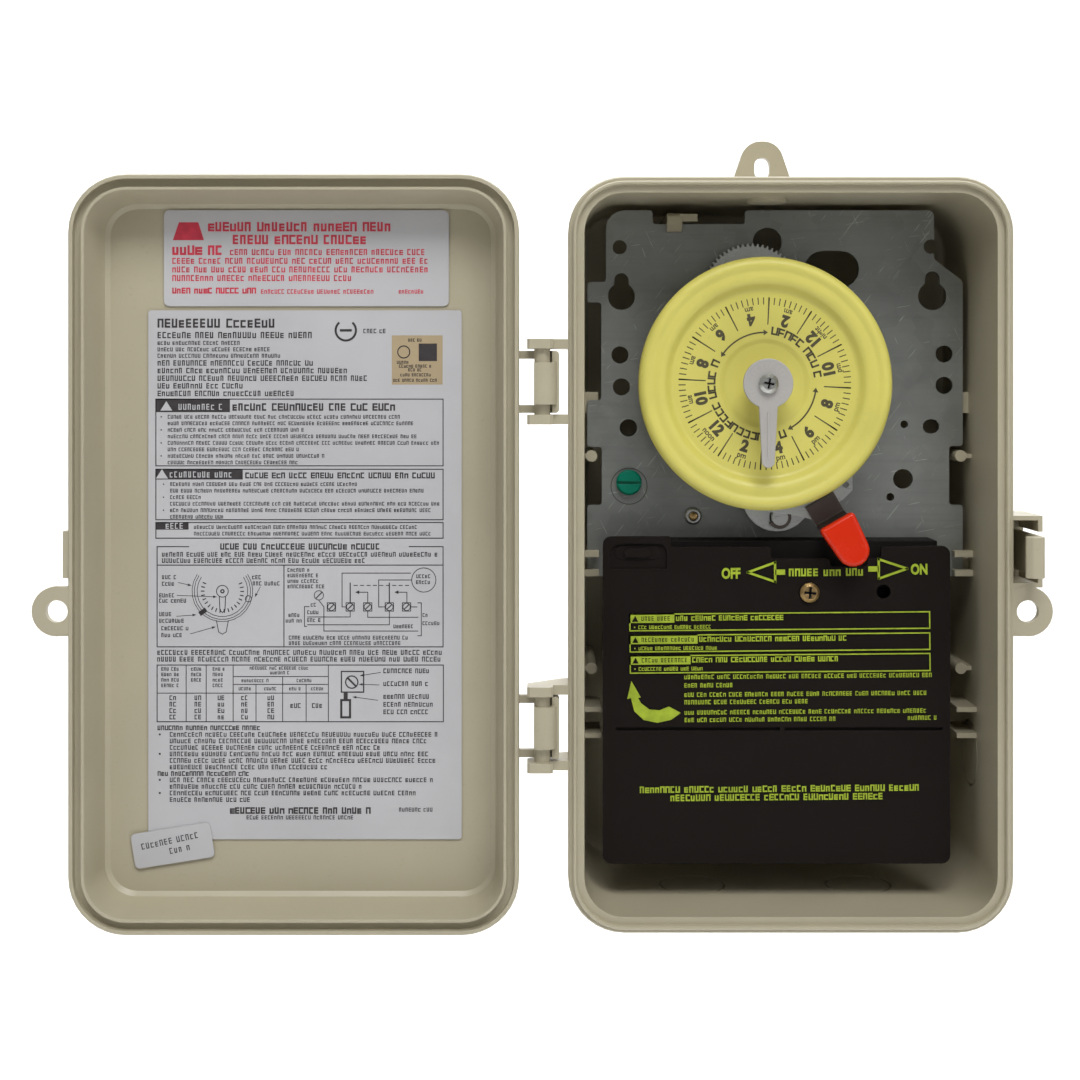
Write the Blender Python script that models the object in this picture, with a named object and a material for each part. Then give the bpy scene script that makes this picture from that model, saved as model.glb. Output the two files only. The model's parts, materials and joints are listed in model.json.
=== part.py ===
"""Wall-mounted 24-hour mechanical time switch in a rainproof two-piece plastic case, door open.

Frame: +Z up, +Y into the wall, origin at the middle of the case's back face. Dimensions here are in
millimetres; finish() scales each mesh to metres. Each function builds one group of sub-parts.
"""

import math

import bmesh
import bpy
from mathutils import Matrix, Vector

MM = 0.001
GAP = 0.3

# Case
BASE_HALF_W = 69.2
BASE_HALF_H = 117.5
BASE_CORNER = 17.5
WALL = 3.0
OUTER_INSET = 1.7
INNER_INSET = OUTER_INSET + WALL
BACK_WALL_Y = -3.0
RIM_Y = -75.8
TONGUE_Y = -77.8
HINGE_X = -77.2
HINGE_Y = -76.0
DOOR_HALF_W = 70.06
DOOR_HALF_H = 118.2
DOOR_CORNER = 18.0
DOOR_X = 2 * HINGE_X
DOOR_FACE_Y = -56.5
DOOR_FLOOR_Y = -59.3
BAR_R = 2.5
SLEEVE_R = 4.6
SLEEVE_BORE_R = 2.85
KNOCKOUT_R = 11.1
KNOCKOUT_GROOVE = 0.7
KNOCKOUT_DEPTH = 0.8
KNOCKOUT_Y = -38.0
KNOCKOUT_Z = -69.0
KNOCKOUT_X = 27.5
PADLOCK_Z = -17.6
PADLOCK_X = 73.6
PADLOCK_R = 7.8
PADLOCK_HOLE_R = 3.45
LATCH_X = 76.0
LATCH_Y = -56.0

# Mechanism
PLATE_BACK_Y = -36.9
PLATE_FRONT_Y = -38.4
ON_PLATE_Y = PLATE_FRONT_Y - GAP
DIAL_X = -6.0
DIAL_Z = 53.2
DIAL_R = 40.5
DIAL_PRINT_Y = -59.0
GEAR_X = -8.3
GEAR_Z = 83.3
GEAR_TEETH = 60
DIAL_TEETH = 55
PINION_TEETH = 10
CENTRE_DISTANCE = math.hypot(GEAR_X - DIAL_X, GEAR_Z - DIAL_Z)
MODULE = 2 * CENTRE_DISTANCE / (GEAR_TEETH + DIAL_TEETH)
PINION_ANGLE = math.radians(-20)
PINION_DISTANCE = MODULE * (GEAR_TEETH + PINION_TEETH) / 2
PINION_X = GEAR_X + PINION_DISTANCE * math.cos(PINION_ANGLE)
PINION_Z = GEAR_Z + PINION_DISTANCE * math.sin(PINION_ANGLE)
MOTOR_X = 12.0
MOTOR_Z = 64.0
LEVER_X = 11.0
LEVER_Z = 28.0
CAM_POST_X = 0.2
CAM_POST_Z = 9.7
ROCKER_Z = -4.7
GUARD_FRONT_Y = -56.0
GUARD_BACK_Y = -54.4
GUARD_SCREW_X = 8.7
GUARD_SCREW_Z = -13.9
TERMINAL_PITCH = 19.0
TERMINAL_COUNT = 5


# ---------------------------------------------------------------- scene and materials


def clear_scene():
    for obj in list(bpy.data.objects):
        bpy.data.objects.remove(obj, do_unlink=True)


def material(name, colour, roughness, metallic=0.0):
    found = bpy.data.materials.get(name)
    if found:
        return found
    made = bpy.data.materials.new(name)
    made.use_nodes = True
    shader = made.node_tree.nodes["Principled BSDF"]
    shader.inputs["Base Color"].default_value = (*colour, 1.0)
    shader.inputs["Roughness"].default_value = roughness
    shader.inputs["Metallic"].default_value = metallic
    return made


def case_plastic():
    return material("case_plastic", (0.47, 0.43, 0.31), 0.42)


def galvanised():
    return material("galvanised_steel", (0.13, 0.145, 0.15), 0.38, 0.9)


def zinc():
    return material("zinc_plate", (0.5, 0.52, 0.5), 0.28, 1.0)


def dark_steel():
    return material("dark_steel", (0.07, 0.06, 0.055), 0.35, 0.9)


def black_plastic():
    return material("black_plastic", (0.02, 0.016, 0.014), 0.35)


def brass():
    return material("brass", (0.45, 0.3, 0.12), 0.3, 1.0)


def label_stock():
    return material("label_stock", (0.5, 0.5, 0.5), 0.55)


# ---------------------------------------------------------------- outlines


def arc(cx, cz, radius, start, end, steps):
    """Points on an arc, both ends included; angles in degrees."""
    points = []
    for i in range(steps + 1):
        angle = math.radians(start + (end - start) * i / steps)
        points.append((cx + radius * math.cos(angle), cz + radius * math.sin(angle)))
    return points


def circle(cx, cz, radius, steps=24):
    return arc(cx, cz, radius, 0, 360, steps)[:-1]


def obround(cx, cz, half, radius, upright=False, steps=8):
    """A slot with round ends; half is from its middle to its end."""
    reach = half - radius
    if upright:
        top = arc(cx, cz + reach, radius, 0, 180, steps)
        return top + arc(cx, cz - reach, radius, 180, 360, steps)
    right = arc(cx + reach, cz, radius, -90, 90, steps)
    return right + arc(cx - reach, cz, radius, 90, 270, steps)


def rounded(corners, steps=4):
    """A closed outline from (x, z, radius) corners."""
    points = []
    for i, (x, z, radius) in enumerate(corners):
        here = Vector((x, z))
        if radius == 0:
            points.append((x, z))
            continue
        before = (Vector(corners[i - 1][:2]) - here).normalized()
        after = (Vector(corners[(i + 1) % len(corners)][:2]) - here).normalized()
        half_angle = before.angle(after) / 2
        centre = here + (before + after).normalized() * (radius / math.sin(half_angle))
        first = here + before * (radius / math.tan(half_angle)) - centre
        last = here + after * (radius / math.tan(half_angle)) - centre
        turn = last.angle_signed(first)
        for step in range(steps + 1):
            angle = turn * step / steps
            c, s = math.cos(angle), math.sin(angle)
            points.append((centre.x + first.x * c - first.y * s, centre.y + first.x * s + first.y * c))
    return points


def rectangle(x0, x1, z0, z1, radius=0.0, steps=4):
    corners = [(x0, z0, radius), (x1, z0, radius), (x1, z1, radius), (x0, z1, radius)]
    return rounded(corners, steps)


def gear_outline(cx, cz, teeth, toward):
    """Straight-flanked teeth with backlash; a tooth points along the angle toward, in radians."""
    pitch = 2 * math.pi / teeth
    pitch_r = MODULE * teeth / 2
    tip_r = pitch_r + 0.75 * MODULE
    root_r = pitch_r - 1.1 * MODULE
    points = []
    for tooth in range(teeth):
        middle = toward + tooth * pitch
        for radius, share in ((root_r, -0.30), (tip_r, -0.11), (tip_r, 0.11), (root_r, 0.30)):
            angle = middle + share * pitch
            points.append((cx + radius * math.cos(angle), cz + radius * math.sin(angle)))
    return points


# ---------------------------------------------------------------- solids


def prism(outline, low, high, place):
    """A straight solid on an outline; place(u, v, w) turns outline and height into a point."""
    bm = bmesh.new()
    bottom = [bm.verts.new(place(u, v, low)) for u, v in outline]
    top = [bm.verts.new(place(u, v, high)) for u, v in outline]
    bm.faces.new(bottom)
    bm.faces.new(top)
    for i, vert in enumerate(bottom):
        j = (i + 1) % len(bottom)
        bm.faces.new((vert, bottom[j], top[j], top[i]))
    bmesh.ops.recalc_face_normals(bm, faces=bm.faces)
    return bm


def slab(outline, y0, y1):
    """An (x, z) outline between two depths."""
    return prism(outline, y0, y1, lambda u, v, w: (u, w, v))


def prism_z(outline, z0, z1):
    """An (x, y) outline between two heights."""
    return prism(outline, z0, z1, lambda u, v, w: (u, v, w))


def prism_x(outline, x0, x1):
    """A (y, z) outline between two sides."""
    return prism(outline, x0, x1, lambda u, v, w: (w, u, v))


def box(x0, x1, y0, y1, z0, z1):
    return slab(rectangle(min(x0, x1), max(x0, x1), min(z0, z1), max(z0, z1)), y0, y1)


def loft(loops, closed=False):
    """Faces between loops of equal length, capped at both ends unless the loops close on themselves."""
    bm = bmesh.new()
    rows = [[bm.verts.new(point) for point in loop] for loop in loops]
    pairs = list(zip(rows, rows[1:]))
    if closed:
        pairs.append((rows[-1], rows[0]))
    for a, b in pairs:
        for i in range(len(a)):
            j = (i + 1) % len(a)
            bm.faces.new((a[i], a[j], b[j], b[i]))
    if not closed:
        bm.faces.new(rows[0])
        bm.faces.new(rows[-1])
    bmesh.ops.recalc_face_normals(bm, faces=bm.faces)
    return bm


def turned(profile, cx, cz, steps=24):
    """A profile of (radius, y) turned about a Y axis; it starts and ends on the axis or closes as a ring."""
    solid = profile[0][0] == 0
    inner = profile[1:-1] if solid else profile
    loops = []
    for radius, y in inner:
        loops.append([(x, y, z) for x, z in circle(cx, cz, radius, steps)])
    return loft(loops, closed=not solid)


def tray(profile, half_w, half_h, corner, cx=0.0, steps=9):
    """A round-cornered tray: profile gives (inset, y) from the outer back edge round to the floor."""
    loops = []
    for inset, y in profile:
        outline = rectangle(
            cx - half_w + inset, cx + half_w - inset, inset - half_h, half_h - inset, corner - inset, steps
        )
        loops.append([(x, y, z) for x, z in outline])
    return loft(loops)


def aim(bm, axis, at):
    """Turns a solid made about the Y axis through the origin so that it lies along axis, at a point."""
    turn = Vector((0, 1, 0)).rotation_difference(Vector(axis)).to_matrix().to_4x4()
    bmesh.ops.transform(bm, matrix=Matrix.Translation(at) @ turn, verts=bm.verts)
    return bm


def cylinder(radius, start, end, axis, at, steps=20):
    profile = [(0, start), (radius, start), (radius, end), (0, end)]
    return aim(turned(profile, 0, 0, steps), axis, at)


# ---------------------------------------------------------------- objects


def finish(name, bm, mat, origin=(0, 0, 0), helper=False):
    """Makes the object, with its origin on the joint axis it turns or slides along."""
    bmesh.ops.translate(bm, vec=-Vector(origin), verts=bm.verts)
    bmesh.ops.scale(bm, vec=(MM, MM, MM), verts=bm.verts)
    mesh = bpy.data.meshes.new(name)
    bm.to_mesh(mesh)
    bm.free()
    mesh.shade_smooth()
    mesh.set_sharp_from_angle(angle=math.radians(32))
    obj = bpy.data.objects.new(name, mesh)
    obj.location = Vector(origin) * MM
    if mat:
        mesh.materials.append(mat)
    bpy.context.scene.collection.objects.link(obj)
    if helper:
        obj.hide_render = True
        obj.display_type = "WIRE"
    return obj


def combine(target, operation, solids):
    for bm in solids:
        count = len(target.modifiers)
        tool = finish(f"{target.name}_{operation.lower()}_{count}", bm, None, helper=True)
        change = target.modifiers.new(tool.name, "BOOLEAN")
        change.operation = operation
        change.solver = "EXACT"
        change.object = tool


def join(target, solids):
    combine(target, "UNION", solids)


def cut(target, solids):
    combine(target, "DIFFERENCE", solids)


def cut_holes(target, outlines, y0, y1):
    cut(target, [slab(outline, y0, y1) for outline in outlines])


# ---------------------------------------------------------------- case


def base_profile():
    return [
        (5.0, 0.0),
        (2.4, -1.2),
        (OUTER_INSET, -4.0),
        (OUTER_INSET, -69.5),
        (0.0, -71.0),
        (0.0, RIM_Y + 0.6),
        (0.5, RIM_Y),
        (1.55, RIM_Y),
        (1.55, TONGUE_Y + 0.4),
        (1.85, TONGUE_Y),
        (2.45, TONGUE_Y),
        (2.75, TONGUE_Y + 0.4),
        (2.75, RIM_Y),
        (5.0, RIM_Y),
        (5.2, RIM_Y + 0.5),
        (INNER_INSET, -72.0),
        (INNER_INSET, -6.0),
        (5.7, -4.0),
        (8.0, BACK_WALL_Y),
    ]


def door_profile():
    return [
        (9.0, DOOR_FACE_Y),
        (5.5, -57.2),
        (2.0, -62.0),
        (1.6, -70.0),
        (0.0, -71.5),
        (0.0, RIM_Y + 0.4),
        (0.4, RIM_Y),
        (1.4, RIM_Y),
        (1.4, -73.0),
        (4.0, -73.0),
        (4.0, RIM_Y),
        (4.8, RIM_Y),
        (5.2, RIM_Y + 0.5),
        (5.9, -70.0),
        (6.8, -63.5),
        (7.8, -60.4),
        (9.3, DOOR_FLOOR_Y),
    ]


def wall_ear():
    corners = [(-13.7, 114.3, 0), (13.7, 114.3, 0), (5.5, 138.4, 7), (-5.5, 138.4, 7)]
    return slab(rounded(corners, 10), -4.0, -0.2)


def hinge_forks():
    fork = [
        (-66.0, -60.0),
        (-72.0, -62.5),
        (-81.9, -71.5),
        (-81.9, -79.2),
        (-81.1, -80.0),
        (-74.7, -80.0),
        (-73.9, -79.2),
        (-73.9, -75.4),
        (-66.0, -75.4),
    ]
    solids = []
    for side in (1, -1):
        for low, high in ((40.5, 43.5), (64.0, 67.0)):
            solids.append(prism_z(fork, side * low, side * high))
        solids.append(cylinder(BAR_R, side * 41.5, side * 66.0, (0, 0, 1), (HINGE_X, HINGE_Y, 0), 16))
    return solids


def latch_housing():
    upper = [(66, 12.1), (66, 10.7), (76.8, 10.7), (76.8, 7.1), (78.2, 7.1), (78.2, 12.1)]
    lower = [(66, -10.2), (78.2, -10.2), (78.2, -6.8), (76.8, -6.8), (76.8, -8.8), (66, -8.8)]
    floor = box(66, 78.0, -54.0, -52.2, -10.0, 11.9)
    return [slab(upper, -53.0, -75.5), slab(lower, -53.0, -75.5), floor]


def padlock_ear(centre_x, wall_x):
    """A round ear with its inner side cut off straight inside the wall."""
    toward = math.copysign(1, wall_x - centre_x)
    stop = wall_x - 0.1 * toward
    rim = circle(centre_x, PADLOCK_Z, PADLOCK_R, 28)
    outline = [(x if (stop - x) * toward > 0 else stop, z) for x, z in rim]
    low, high = PADLOCK_Z - PADLOCK_R + 0.1, PADLOCK_Z + PADLOCK_R - 0.1
    return [slab(outline, -75.6, -72.7), box(centre_x, wall_x, -75.5, -72.8, low, high)]


def plate_supports(side):
    """Posts, ledges and fingers inside one side wall that hold the mechanism plate."""
    wall = side * 65.6
    solids = []
    for z in (29.4, -40.6):
        solids.append(slab(circle(side * 60.9, z, 1.9, 14), -41.5, -2.0))
        solids.append(box(side * 61.5, wall, -41.0, -2.5, z - 0.7, z + 0.7))
    for z in (47.0, -6.0):
        solids.append(box(side * 58.6, wall, -36.6, -32.0, z - 3.5, z + 3.5))
    for z in (-2.8, -9.1):
        solids.append(box(side * 58.5, wall, -43.0, -38.7, z - 1.0, z + 1.0))
    for z in (-53.0, -61.5):
        solids.append(box(side * 58.0, wall, -48.0, -28.0, z - 0.8, z + 0.8))
    return solids


def top_boss():
    """A shallow round boss on the inside of the top wall."""
    inner = BASE_HALF_H - INNER_INSET
    return cylinder(6.3, inner - 1.1, inner + 1.0, (0, 0, 1), (-4.5, -52.0, 0), 20)


def groove(axis, at, start, end):
    """A ring-shaped cutter that scores a knock-out."""
    inner = KNOCKOUT_R - KNOCKOUT_GROOVE
    profile = [(inner, start), (KNOCKOUT_R, start), (KNOCKOUT_R, end), (inner, end)]
    return aim(turned(profile, 0, 0, 16), axis, at)


def knockouts():
    clear = 1.0
    outer_x, inner_x = BASE_HALF_W - OUTER_INSET, BASE_HALF_W - INNER_INSET
    outer_z, inner_z = BASE_HALF_H - OUTER_INSET, BASE_HALF_H - INNER_INSET
    solids = []
    for side in (1, -1):
        axis, at = (side, 0, 0), (0, KNOCKOUT_Y, KNOCKOUT_Z)
        solids.append(groove(axis, at, inner_x - clear, inner_x + KNOCKOUT_DEPTH))
        solids.append(groove(axis, at, outer_x - KNOCKOUT_DEPTH, outer_x + clear))
        at = (side * KNOCKOUT_X, KNOCKOUT_Y, 0)
        solids.append(groove((0, 0, -1), at, inner_z - clear, inner_z + KNOCKOUT_DEPTH))
        solids.append(groove((0, 0, -1), at, outer_z - KNOCKOUT_DEPTH, outer_z + clear))
    return solids


def build_base():
    solid = tray(base_profile(), BASE_HALF_W, BASE_HALF_H, BASE_CORNER)
    base = finish("enclosure_base", solid, case_plastic())
    join(base, [wall_ear()] + hinge_forks() + latch_housing() + padlock_ear(PADLOCK_X, 66.5))
    join(base, plate_supports(1) + plate_supports(-1) + [top_boss()])
    slot = slab(obround(0, 128.85, 3.85, 2.7, upright=True), -6, 2)
    cut(base, [slot, slab(circle(PADLOCK_X, PADLOCK_Z, PADLOCK_HOLE_R, 20), -80, -70)] + knockouts())


def hinge_leaf(side):
    """Two arms from the door's wall to a back plate, and the plate's turned-up lip."""
    low, high, arm = 44.0, 63.4, 2.5
    frame = [(-87, low, 0), (-71.9, low, 1.1), (-71.9, high, 1.1), (-87, high, 0), (-87, high - arm, 0)]
    frame += [(-79.6, high - arm, 0), (-79.6, low + arm, 0), (-87, low + arm, 0)]
    lip = [(-74.2, low + 0.1, 0), (-72.0, low + 0.1, 1), (-72.0, high - 0.1, 1), (-74.2, high - 0.1, 0)]
    solids = []
    for corners, y0, y1 in ((frame, -70.8, -73.0), (lip, -72.0, -76.3)):
        solids.append(slab(rounded([(x, side * z, radius) for x, z, radius in corners]), y0, y1))
    return solids


def build_door():
    solid = tray(door_profile(), DOOR_HALF_W, DOOR_HALF_H, DOOR_CORNER, DOOR_X)
    door = finish("enclosure_door", solid, case_plastic(), (HINGE_X, HINGE_Y, 0))
    at = (HINGE_X, HINGE_Y, 0)
    solids = []
    for side in (1, -1):
        solids += hinge_leaf(side)
        solids.append(cylinder(SLEEVE_R, side * 46.7, side * 59.7, (0, 0, 1), at))
    ear_x = 2 * HINGE_X - PADLOCK_X
    edge_x = DOOR_X - DOOR_HALF_W
    solids += padlock_ear(ear_x, edge_x + 1.4)
    solids.append(box(edge_x - 1.84, edge_x + 1.2, -75.0, -70.6, -7.4, 7.3))
    join(door, solids)
    cutters = [cylinder(SLEEVE_BORE_R, s * 43.0, s * 64.5, (0, 0, 1), at) for s in (1, -1)]
    cutters += [box(-83.0, -79.8, -82.0, -70.0, s * 46.6, s * 60.8) for s in (1, -1)]
    cut(door, cutters + [slab(circle(ear_x, PADLOCK_Z, PADLOCK_HOLE_R, 20), -80, -70)])


def build_latch():
    tongue = [
        (74.6, -54.3),
        (76.2, -54.3),
        (76.2, -85.3),
        (75.5, -86.0),
        (72.4, -86.0),
        (70.6, -84.4),
        (70.6, -83.3),
        (74.6, -83.3),
    ]
    finish("latch_tongue", prism_z(tongue, -6.4, 6.4), case_plastic(), (LATCH_X, LATCH_Y, 0))


def build_plate_clip():
    hook = [
        (-3.3, 109.4),
        (-41.0, 109.4),
        (-42.0, 108.4),
        (-42.0, 105.5),
        (-40.2, 103.4),
        (-38.7, 103.4),
        (-38.7, 106.6),
        (-3.3, 106.6),
    ]
    clip = finish("plate_clip", prism_x(hook, -36.0, -31.0), case_plastic(), (-33.5, -6.0, 108.0))
    join(clip, [box(-32.0, -26.0, -41.8, -39.0, 106.8, 109.2)])


def build_labels():
    def label(name, x0, x1, z0, z1, radius):
        solid = slab(rectangle(x0, x1, z0, z1, radius), DOOR_FLOOR_Y - GAP, DOOR_FLOOR_Y - GAP - 0.3)
        return finish(name, solid, label_stock(), (HINGE_X, HINGE_Y, 0))

    label("door_label_upper", -198.0, -107.0, 77.9, 108.6, 1.8)
    label("door_label_main", -203.0, -102.9, -92.3, 76.6, 1.0)
    middle = (-195.1, -94.2)
    front_y = DOOR_FLOOR_Y - 2 * GAP - 0.3
    solid = slab(rectangle(-12.8, 12.8, -5.6, 5.6, 1.5), front_y, front_y - 0.2)
    tilt = Matrix.Rotation(math.radians(-9), 4, "Y")
    bmesh.ops.transform(solid, matrix=Matrix.Translation((middle[0], 0, middle[1])) @ tilt, verts=solid.verts)
    finish("door_label_small", solid, label_stock(), (HINGE_X, HINGE_Y, 0))


# ---------------------------------------------------------------- mechanism plate


def plate_outline():
    return rounded(
        [
            (-56.0, 110.7, 6.0),
            (-40.6, 110.7, 1.0),
            (-40.6, 106.1, 1.0),
            (-10.0, 106.1, 1.0),
            (-10.0, 110.7, 1.0),
            (52.7, 110.7, 2.0),
            (52.7, 94.5, 1.0),
            (62.2, 87.3, 2.0),
            (62.2, 32.6, 1.0),
            (57.7, 32.6, 1.0),
            (57.7, 13.1, 1.0),
            (62.2, 13.1, 1.0),
            (62.2, -10.5, 1.5),
            (-62.2, -10.5, 1.5),
            (-62.2, 13.1, 1.0),
            (-57.4, 13.1, 1.0),
            (-57.4, 32.3, 1.0),
            (-62.2, 32.3, 1.0),
            (-62.2, 47.8, 1.0),
            (-57.6, 47.8, 1.0),
            (-57.6, 80.2, 1.0),
            (-62.2, 80.2, 1.0),
            (-62.2, 87.0, 1.5),
            (-56.0, 87.0, 1.0),
        ],
        4,
    )


def keyhole(cx, cz, radius, slot_half, top):
    """A round hole with a narrower slot above it."""
    rise = math.degrees(math.acos(slot_half / radius))
    lower = arc(cx, cz, radius, 180 - rise, 360 + rise, 20)
    return lower + arc(cx, top - slot_half, slot_half, 0, 180, 8)


def build_plate():
    plate = finish("mechanism_plate", slab(plate_outline(), PLATE_BACK_Y, PLATE_FRONT_Y), galvanised())
    holes = [
        circle(-51.5, 98.5, 2.4, 18),
        circle(51.6, 98.7, 2.4, 18),
        keyhole(-50.9, 82.2, 4.5, 2.4, 89.9),
        keyhole(52.1, 82.3, 4.7, 2.45, 90.5),
        circle(-2.6, 100.1, 4.85, 28),
        obround(18.8, 91.2, 9.1, 6.1),
        circle(PINION_X, PINION_Z, 1.8, 12),
    ]
    small = [(-51.4, 62.8, 2.85), (-50.9, 52.2, 2.85), (-48.6, 38.6, 2.9), (56.0, 63.1, 2.85)]
    small += [(56.0, 52.7, 2.85), (42.8, 39.8, 1.25), (42.4, 21.7, 3.3), (38.2, 15.7, 1.3)]
    holes += [circle(x, z, radius, 18) for x, z, radius in small]
    holes.append(obround(51.7, 39.1, 2.8, 2.4, steps=5))
    cut_holes(plate, holes, PLATE_BACK_Y + 2, PLATE_FRONT_Y - 2)


def build_plate_hardware():
    eyelet = [(1.4, ON_PLATE_Y), (2.8, ON_PLATE_Y), (2.8, -39.3), (2.3, -39.7), (1.6, -39.7)]
    finish("plate_eyelet", turned(eyelet, -27.2, 9.4, 16), zinc())
    green = material("green_screw_head", (0.0, 0.17, 0.1), 0.3, 0.4)
    profile = [(0, ON_PLATE_Y), (4.2, ON_PLATE_Y), (4.2, -40.6), (3.6, -41.3), (0, -41.3)]
    screw = finish("ground_screw", turned(profile, -48.5, 20.6, 20), green)
    slot = box(-53.5, -43.5, -42.5, -40.3, 20.1, 21.1)
    cut(screw, [slot])


# ---------------------------------------------------------------- drive train and dial


def build_motor():
    profile = [(0, -36.6), (22.6, -36.6), (24.0, -35.4), (24.0, -14.0), (22.8, -12.8), (0, -12.8)]
    can = finish("motor_housing", turned(profile, MOTOR_X, MOTOR_Z, 28), zinc())
    cut(can, [slab(circle(PINION_X, PINION_Z, 1.8, 12), -38.0, -33.0)])
    coil = finish("motor_coil", box(-6.0, 30.0, -33.0, -15.0, 14.0, 37.0), black_plastic())
    coil.data.materials[0] = material("coil_tape", (0.5, 0.36, 0.06), 0.5)


def build_gears():
    gear_to_dial = math.atan2(DIAL_Z - GEAR_Z, DIAL_X - GEAR_X)
    pitch = 2 * math.pi / GEAR_TEETH
    big = slab(gear_outline(GEAR_X, GEAR_Z, GEAR_TEETH, gear_to_dial), -40.4, -42.4)
    gear = finish("cycle_gear", big, zinc(), (GEAR_X, 0, GEAR_Z))
    join(gear, [slab(circle(GEAR_X, GEAR_Z, 4.2, 16), -40.8, -43.4)])
    holes = [slab(circle(GEAR_X, GEAR_Z, 2.0, 14), -39, -45)]
    for i in range(4):
        x = GEAR_X + 9.6 * math.cos(math.radians(45 + 90 * i))
        z = GEAR_Z + 9.6 * math.sin(math.radians(45 + 90 * i))
        holes.append(slab(circle(x, z, 2.6, 12), -39, -45))
    cut(gear, holes)

    stud = [(0, ON_PLATE_Y), (3.2, ON_PLATE_Y), (3.2, -40.1), (1.7, -40.1), (1.7, -43.7), (2.9, -43.7)]
    stud += [(2.9, -44.5), (2.4, -44.9), (0, -44.9)]
    finish("gear_stud", turned(stud, GEAR_X, GEAR_Z, 16), zinc())

    half_tooth = math.pi / DIAL_TEETH
    small = slab(gear_outline(DIAL_X, DIAL_Z, DIAL_TEETH, gear_to_dial + math.pi + half_tooth), -40.4, -42.6)
    dial_gear = finish("dial_gear", small, zinc(), (DIAL_X, 0, DIAL_Z))
    join(dial_gear, [slab(circle(DIAL_X, DIAL_Z, 7.4, 20), -41.5, -46.7)])
    cut(dial_gear, [slab(circle(DIAL_X, DIAL_Z, 4.5, 16), -39, -48)])

    to_pinion = PINION_ANGLE - gear_to_dial
    past_tooth = to_pinion / pitch - round(to_pinion / pitch)
    half_pinion_tooth = math.pi / PINION_TEETH
    turn = past_tooth * 2 * math.pi / PINION_TEETH
    toward = PINION_ANGLE + math.pi + half_pinion_tooth + turn
    teeth = slab(gear_outline(PINION_X, PINION_Z, PINION_TEETH, toward), -39.6, -43.4)
    pinion = finish("motor_pinion", teeth, brass(), (PINION_X, 0, PINION_Z))
    join(pinion, [slab(circle(PINION_X, PINION_Z, 1.2, 12), -34.0, -44.6)])


def build_dial():
    arbor = [(0, ON_PLATE_Y), (5.5, ON_PLATE_Y), (5.5, -39.9), (2.5, -39.9), (2.5, -66.2), (0, -66.2)]
    finish("center_arbor", turned(arbor, DIAL_X, DIAL_Z, 20), zinc())
    sleeve = [(2.85, -40.3), (4.15, -40.3), (4.15, -58.6), (6.2, -58.6), (6.2, -60.4)]
    sleeve += [(5.6, -61.0), (2.85, -61.0)]
    finish("dial_sleeve", turned(sleeve, DIAL_X, DIAL_Z, 20), brass(), (DIAL_X, 0, DIAL_Z))

    profile = [
        (4.5, -47.0),
        (8.0, -47.0),
        (8.0, -56.6),
        (29.6, -57.2),
        (34.4, -60.2),
        (38.2, -60.2),
        (39.0, -56.6),
        (DIAL_R, -56.6),
        (DIAL_R, -60.6),
        (DIAL_R - 1.2, -62.1),
        (DIAL_R - 3.0, -62.5),
        (DIAL_R - 5.6, -61.6),
        (30.0, DIAL_PRINT_Y),
        (14.4, DIAL_PRINT_Y),
        (13.2, -58.2),
        (4.5, -58.2),
    ]
    yellow = material("dial_yellow", (0.66, 0.58, 0.13), 0.45)
    finish("dial", turned(profile, DIAL_X, DIAL_Z, 44), yellow, (DIAL_X, 0, DIAL_Z))

    lilac = material("pointer_grey", (0.4, 0.37, 0.4), 0.35, 0.3)
    disc = arc(DIAL_X, DIAL_Z, 7.9, -68, 248, 22)
    tip = DIAL_Z - 26.7
    outline = disc + [(DIAL_X - 2.05, tip + 3.0), (DIAL_X, tip), (DIAL_X + 2.05, tip + 3.0)]
    pointer = finish("pointer", slab(outline, -66.5, -68.0), lilac)
    cut(pointer, [slab(circle(DIAL_X, DIAL_Z, 1.9, 14), -64, -70)])
    head = [(0, -66.5), (1.5, -66.5), (1.5, -68.3), (3.1, -68.3), (3.1, -69.3), (2.0, -70.3), (0, -70.3)]
    screw = finish("pointer_screw", turned(head, DIAL_X, DIAL_Z, 18), zinc())
    cut(screw, cross_slots(DIAL_X, DIAL_Z, 1.9, -71.0, -69.7))


def cross_slots(cx, cz, half, y0, y1):
    wide = 0.42
    return [
        box(cx - half, cx + half, y0, y1, cz - wide, cz + wide),
        box(cx - wide, cx + wide, y0, y1, cz - half, cz + half),
    ]


# ---------------------------------------------------------------- trip lever and switch


def along_tip(t, side):
    """A point on the lever's tip: t along it from its top middle, side across it."""
    down = Vector((8.0, -13.9)).normalized()
    across = Vector((-down.y, down.x))
    point = Vector((15.9, 9.7)) + down * t + across * side
    return point.x, point.y


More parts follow.
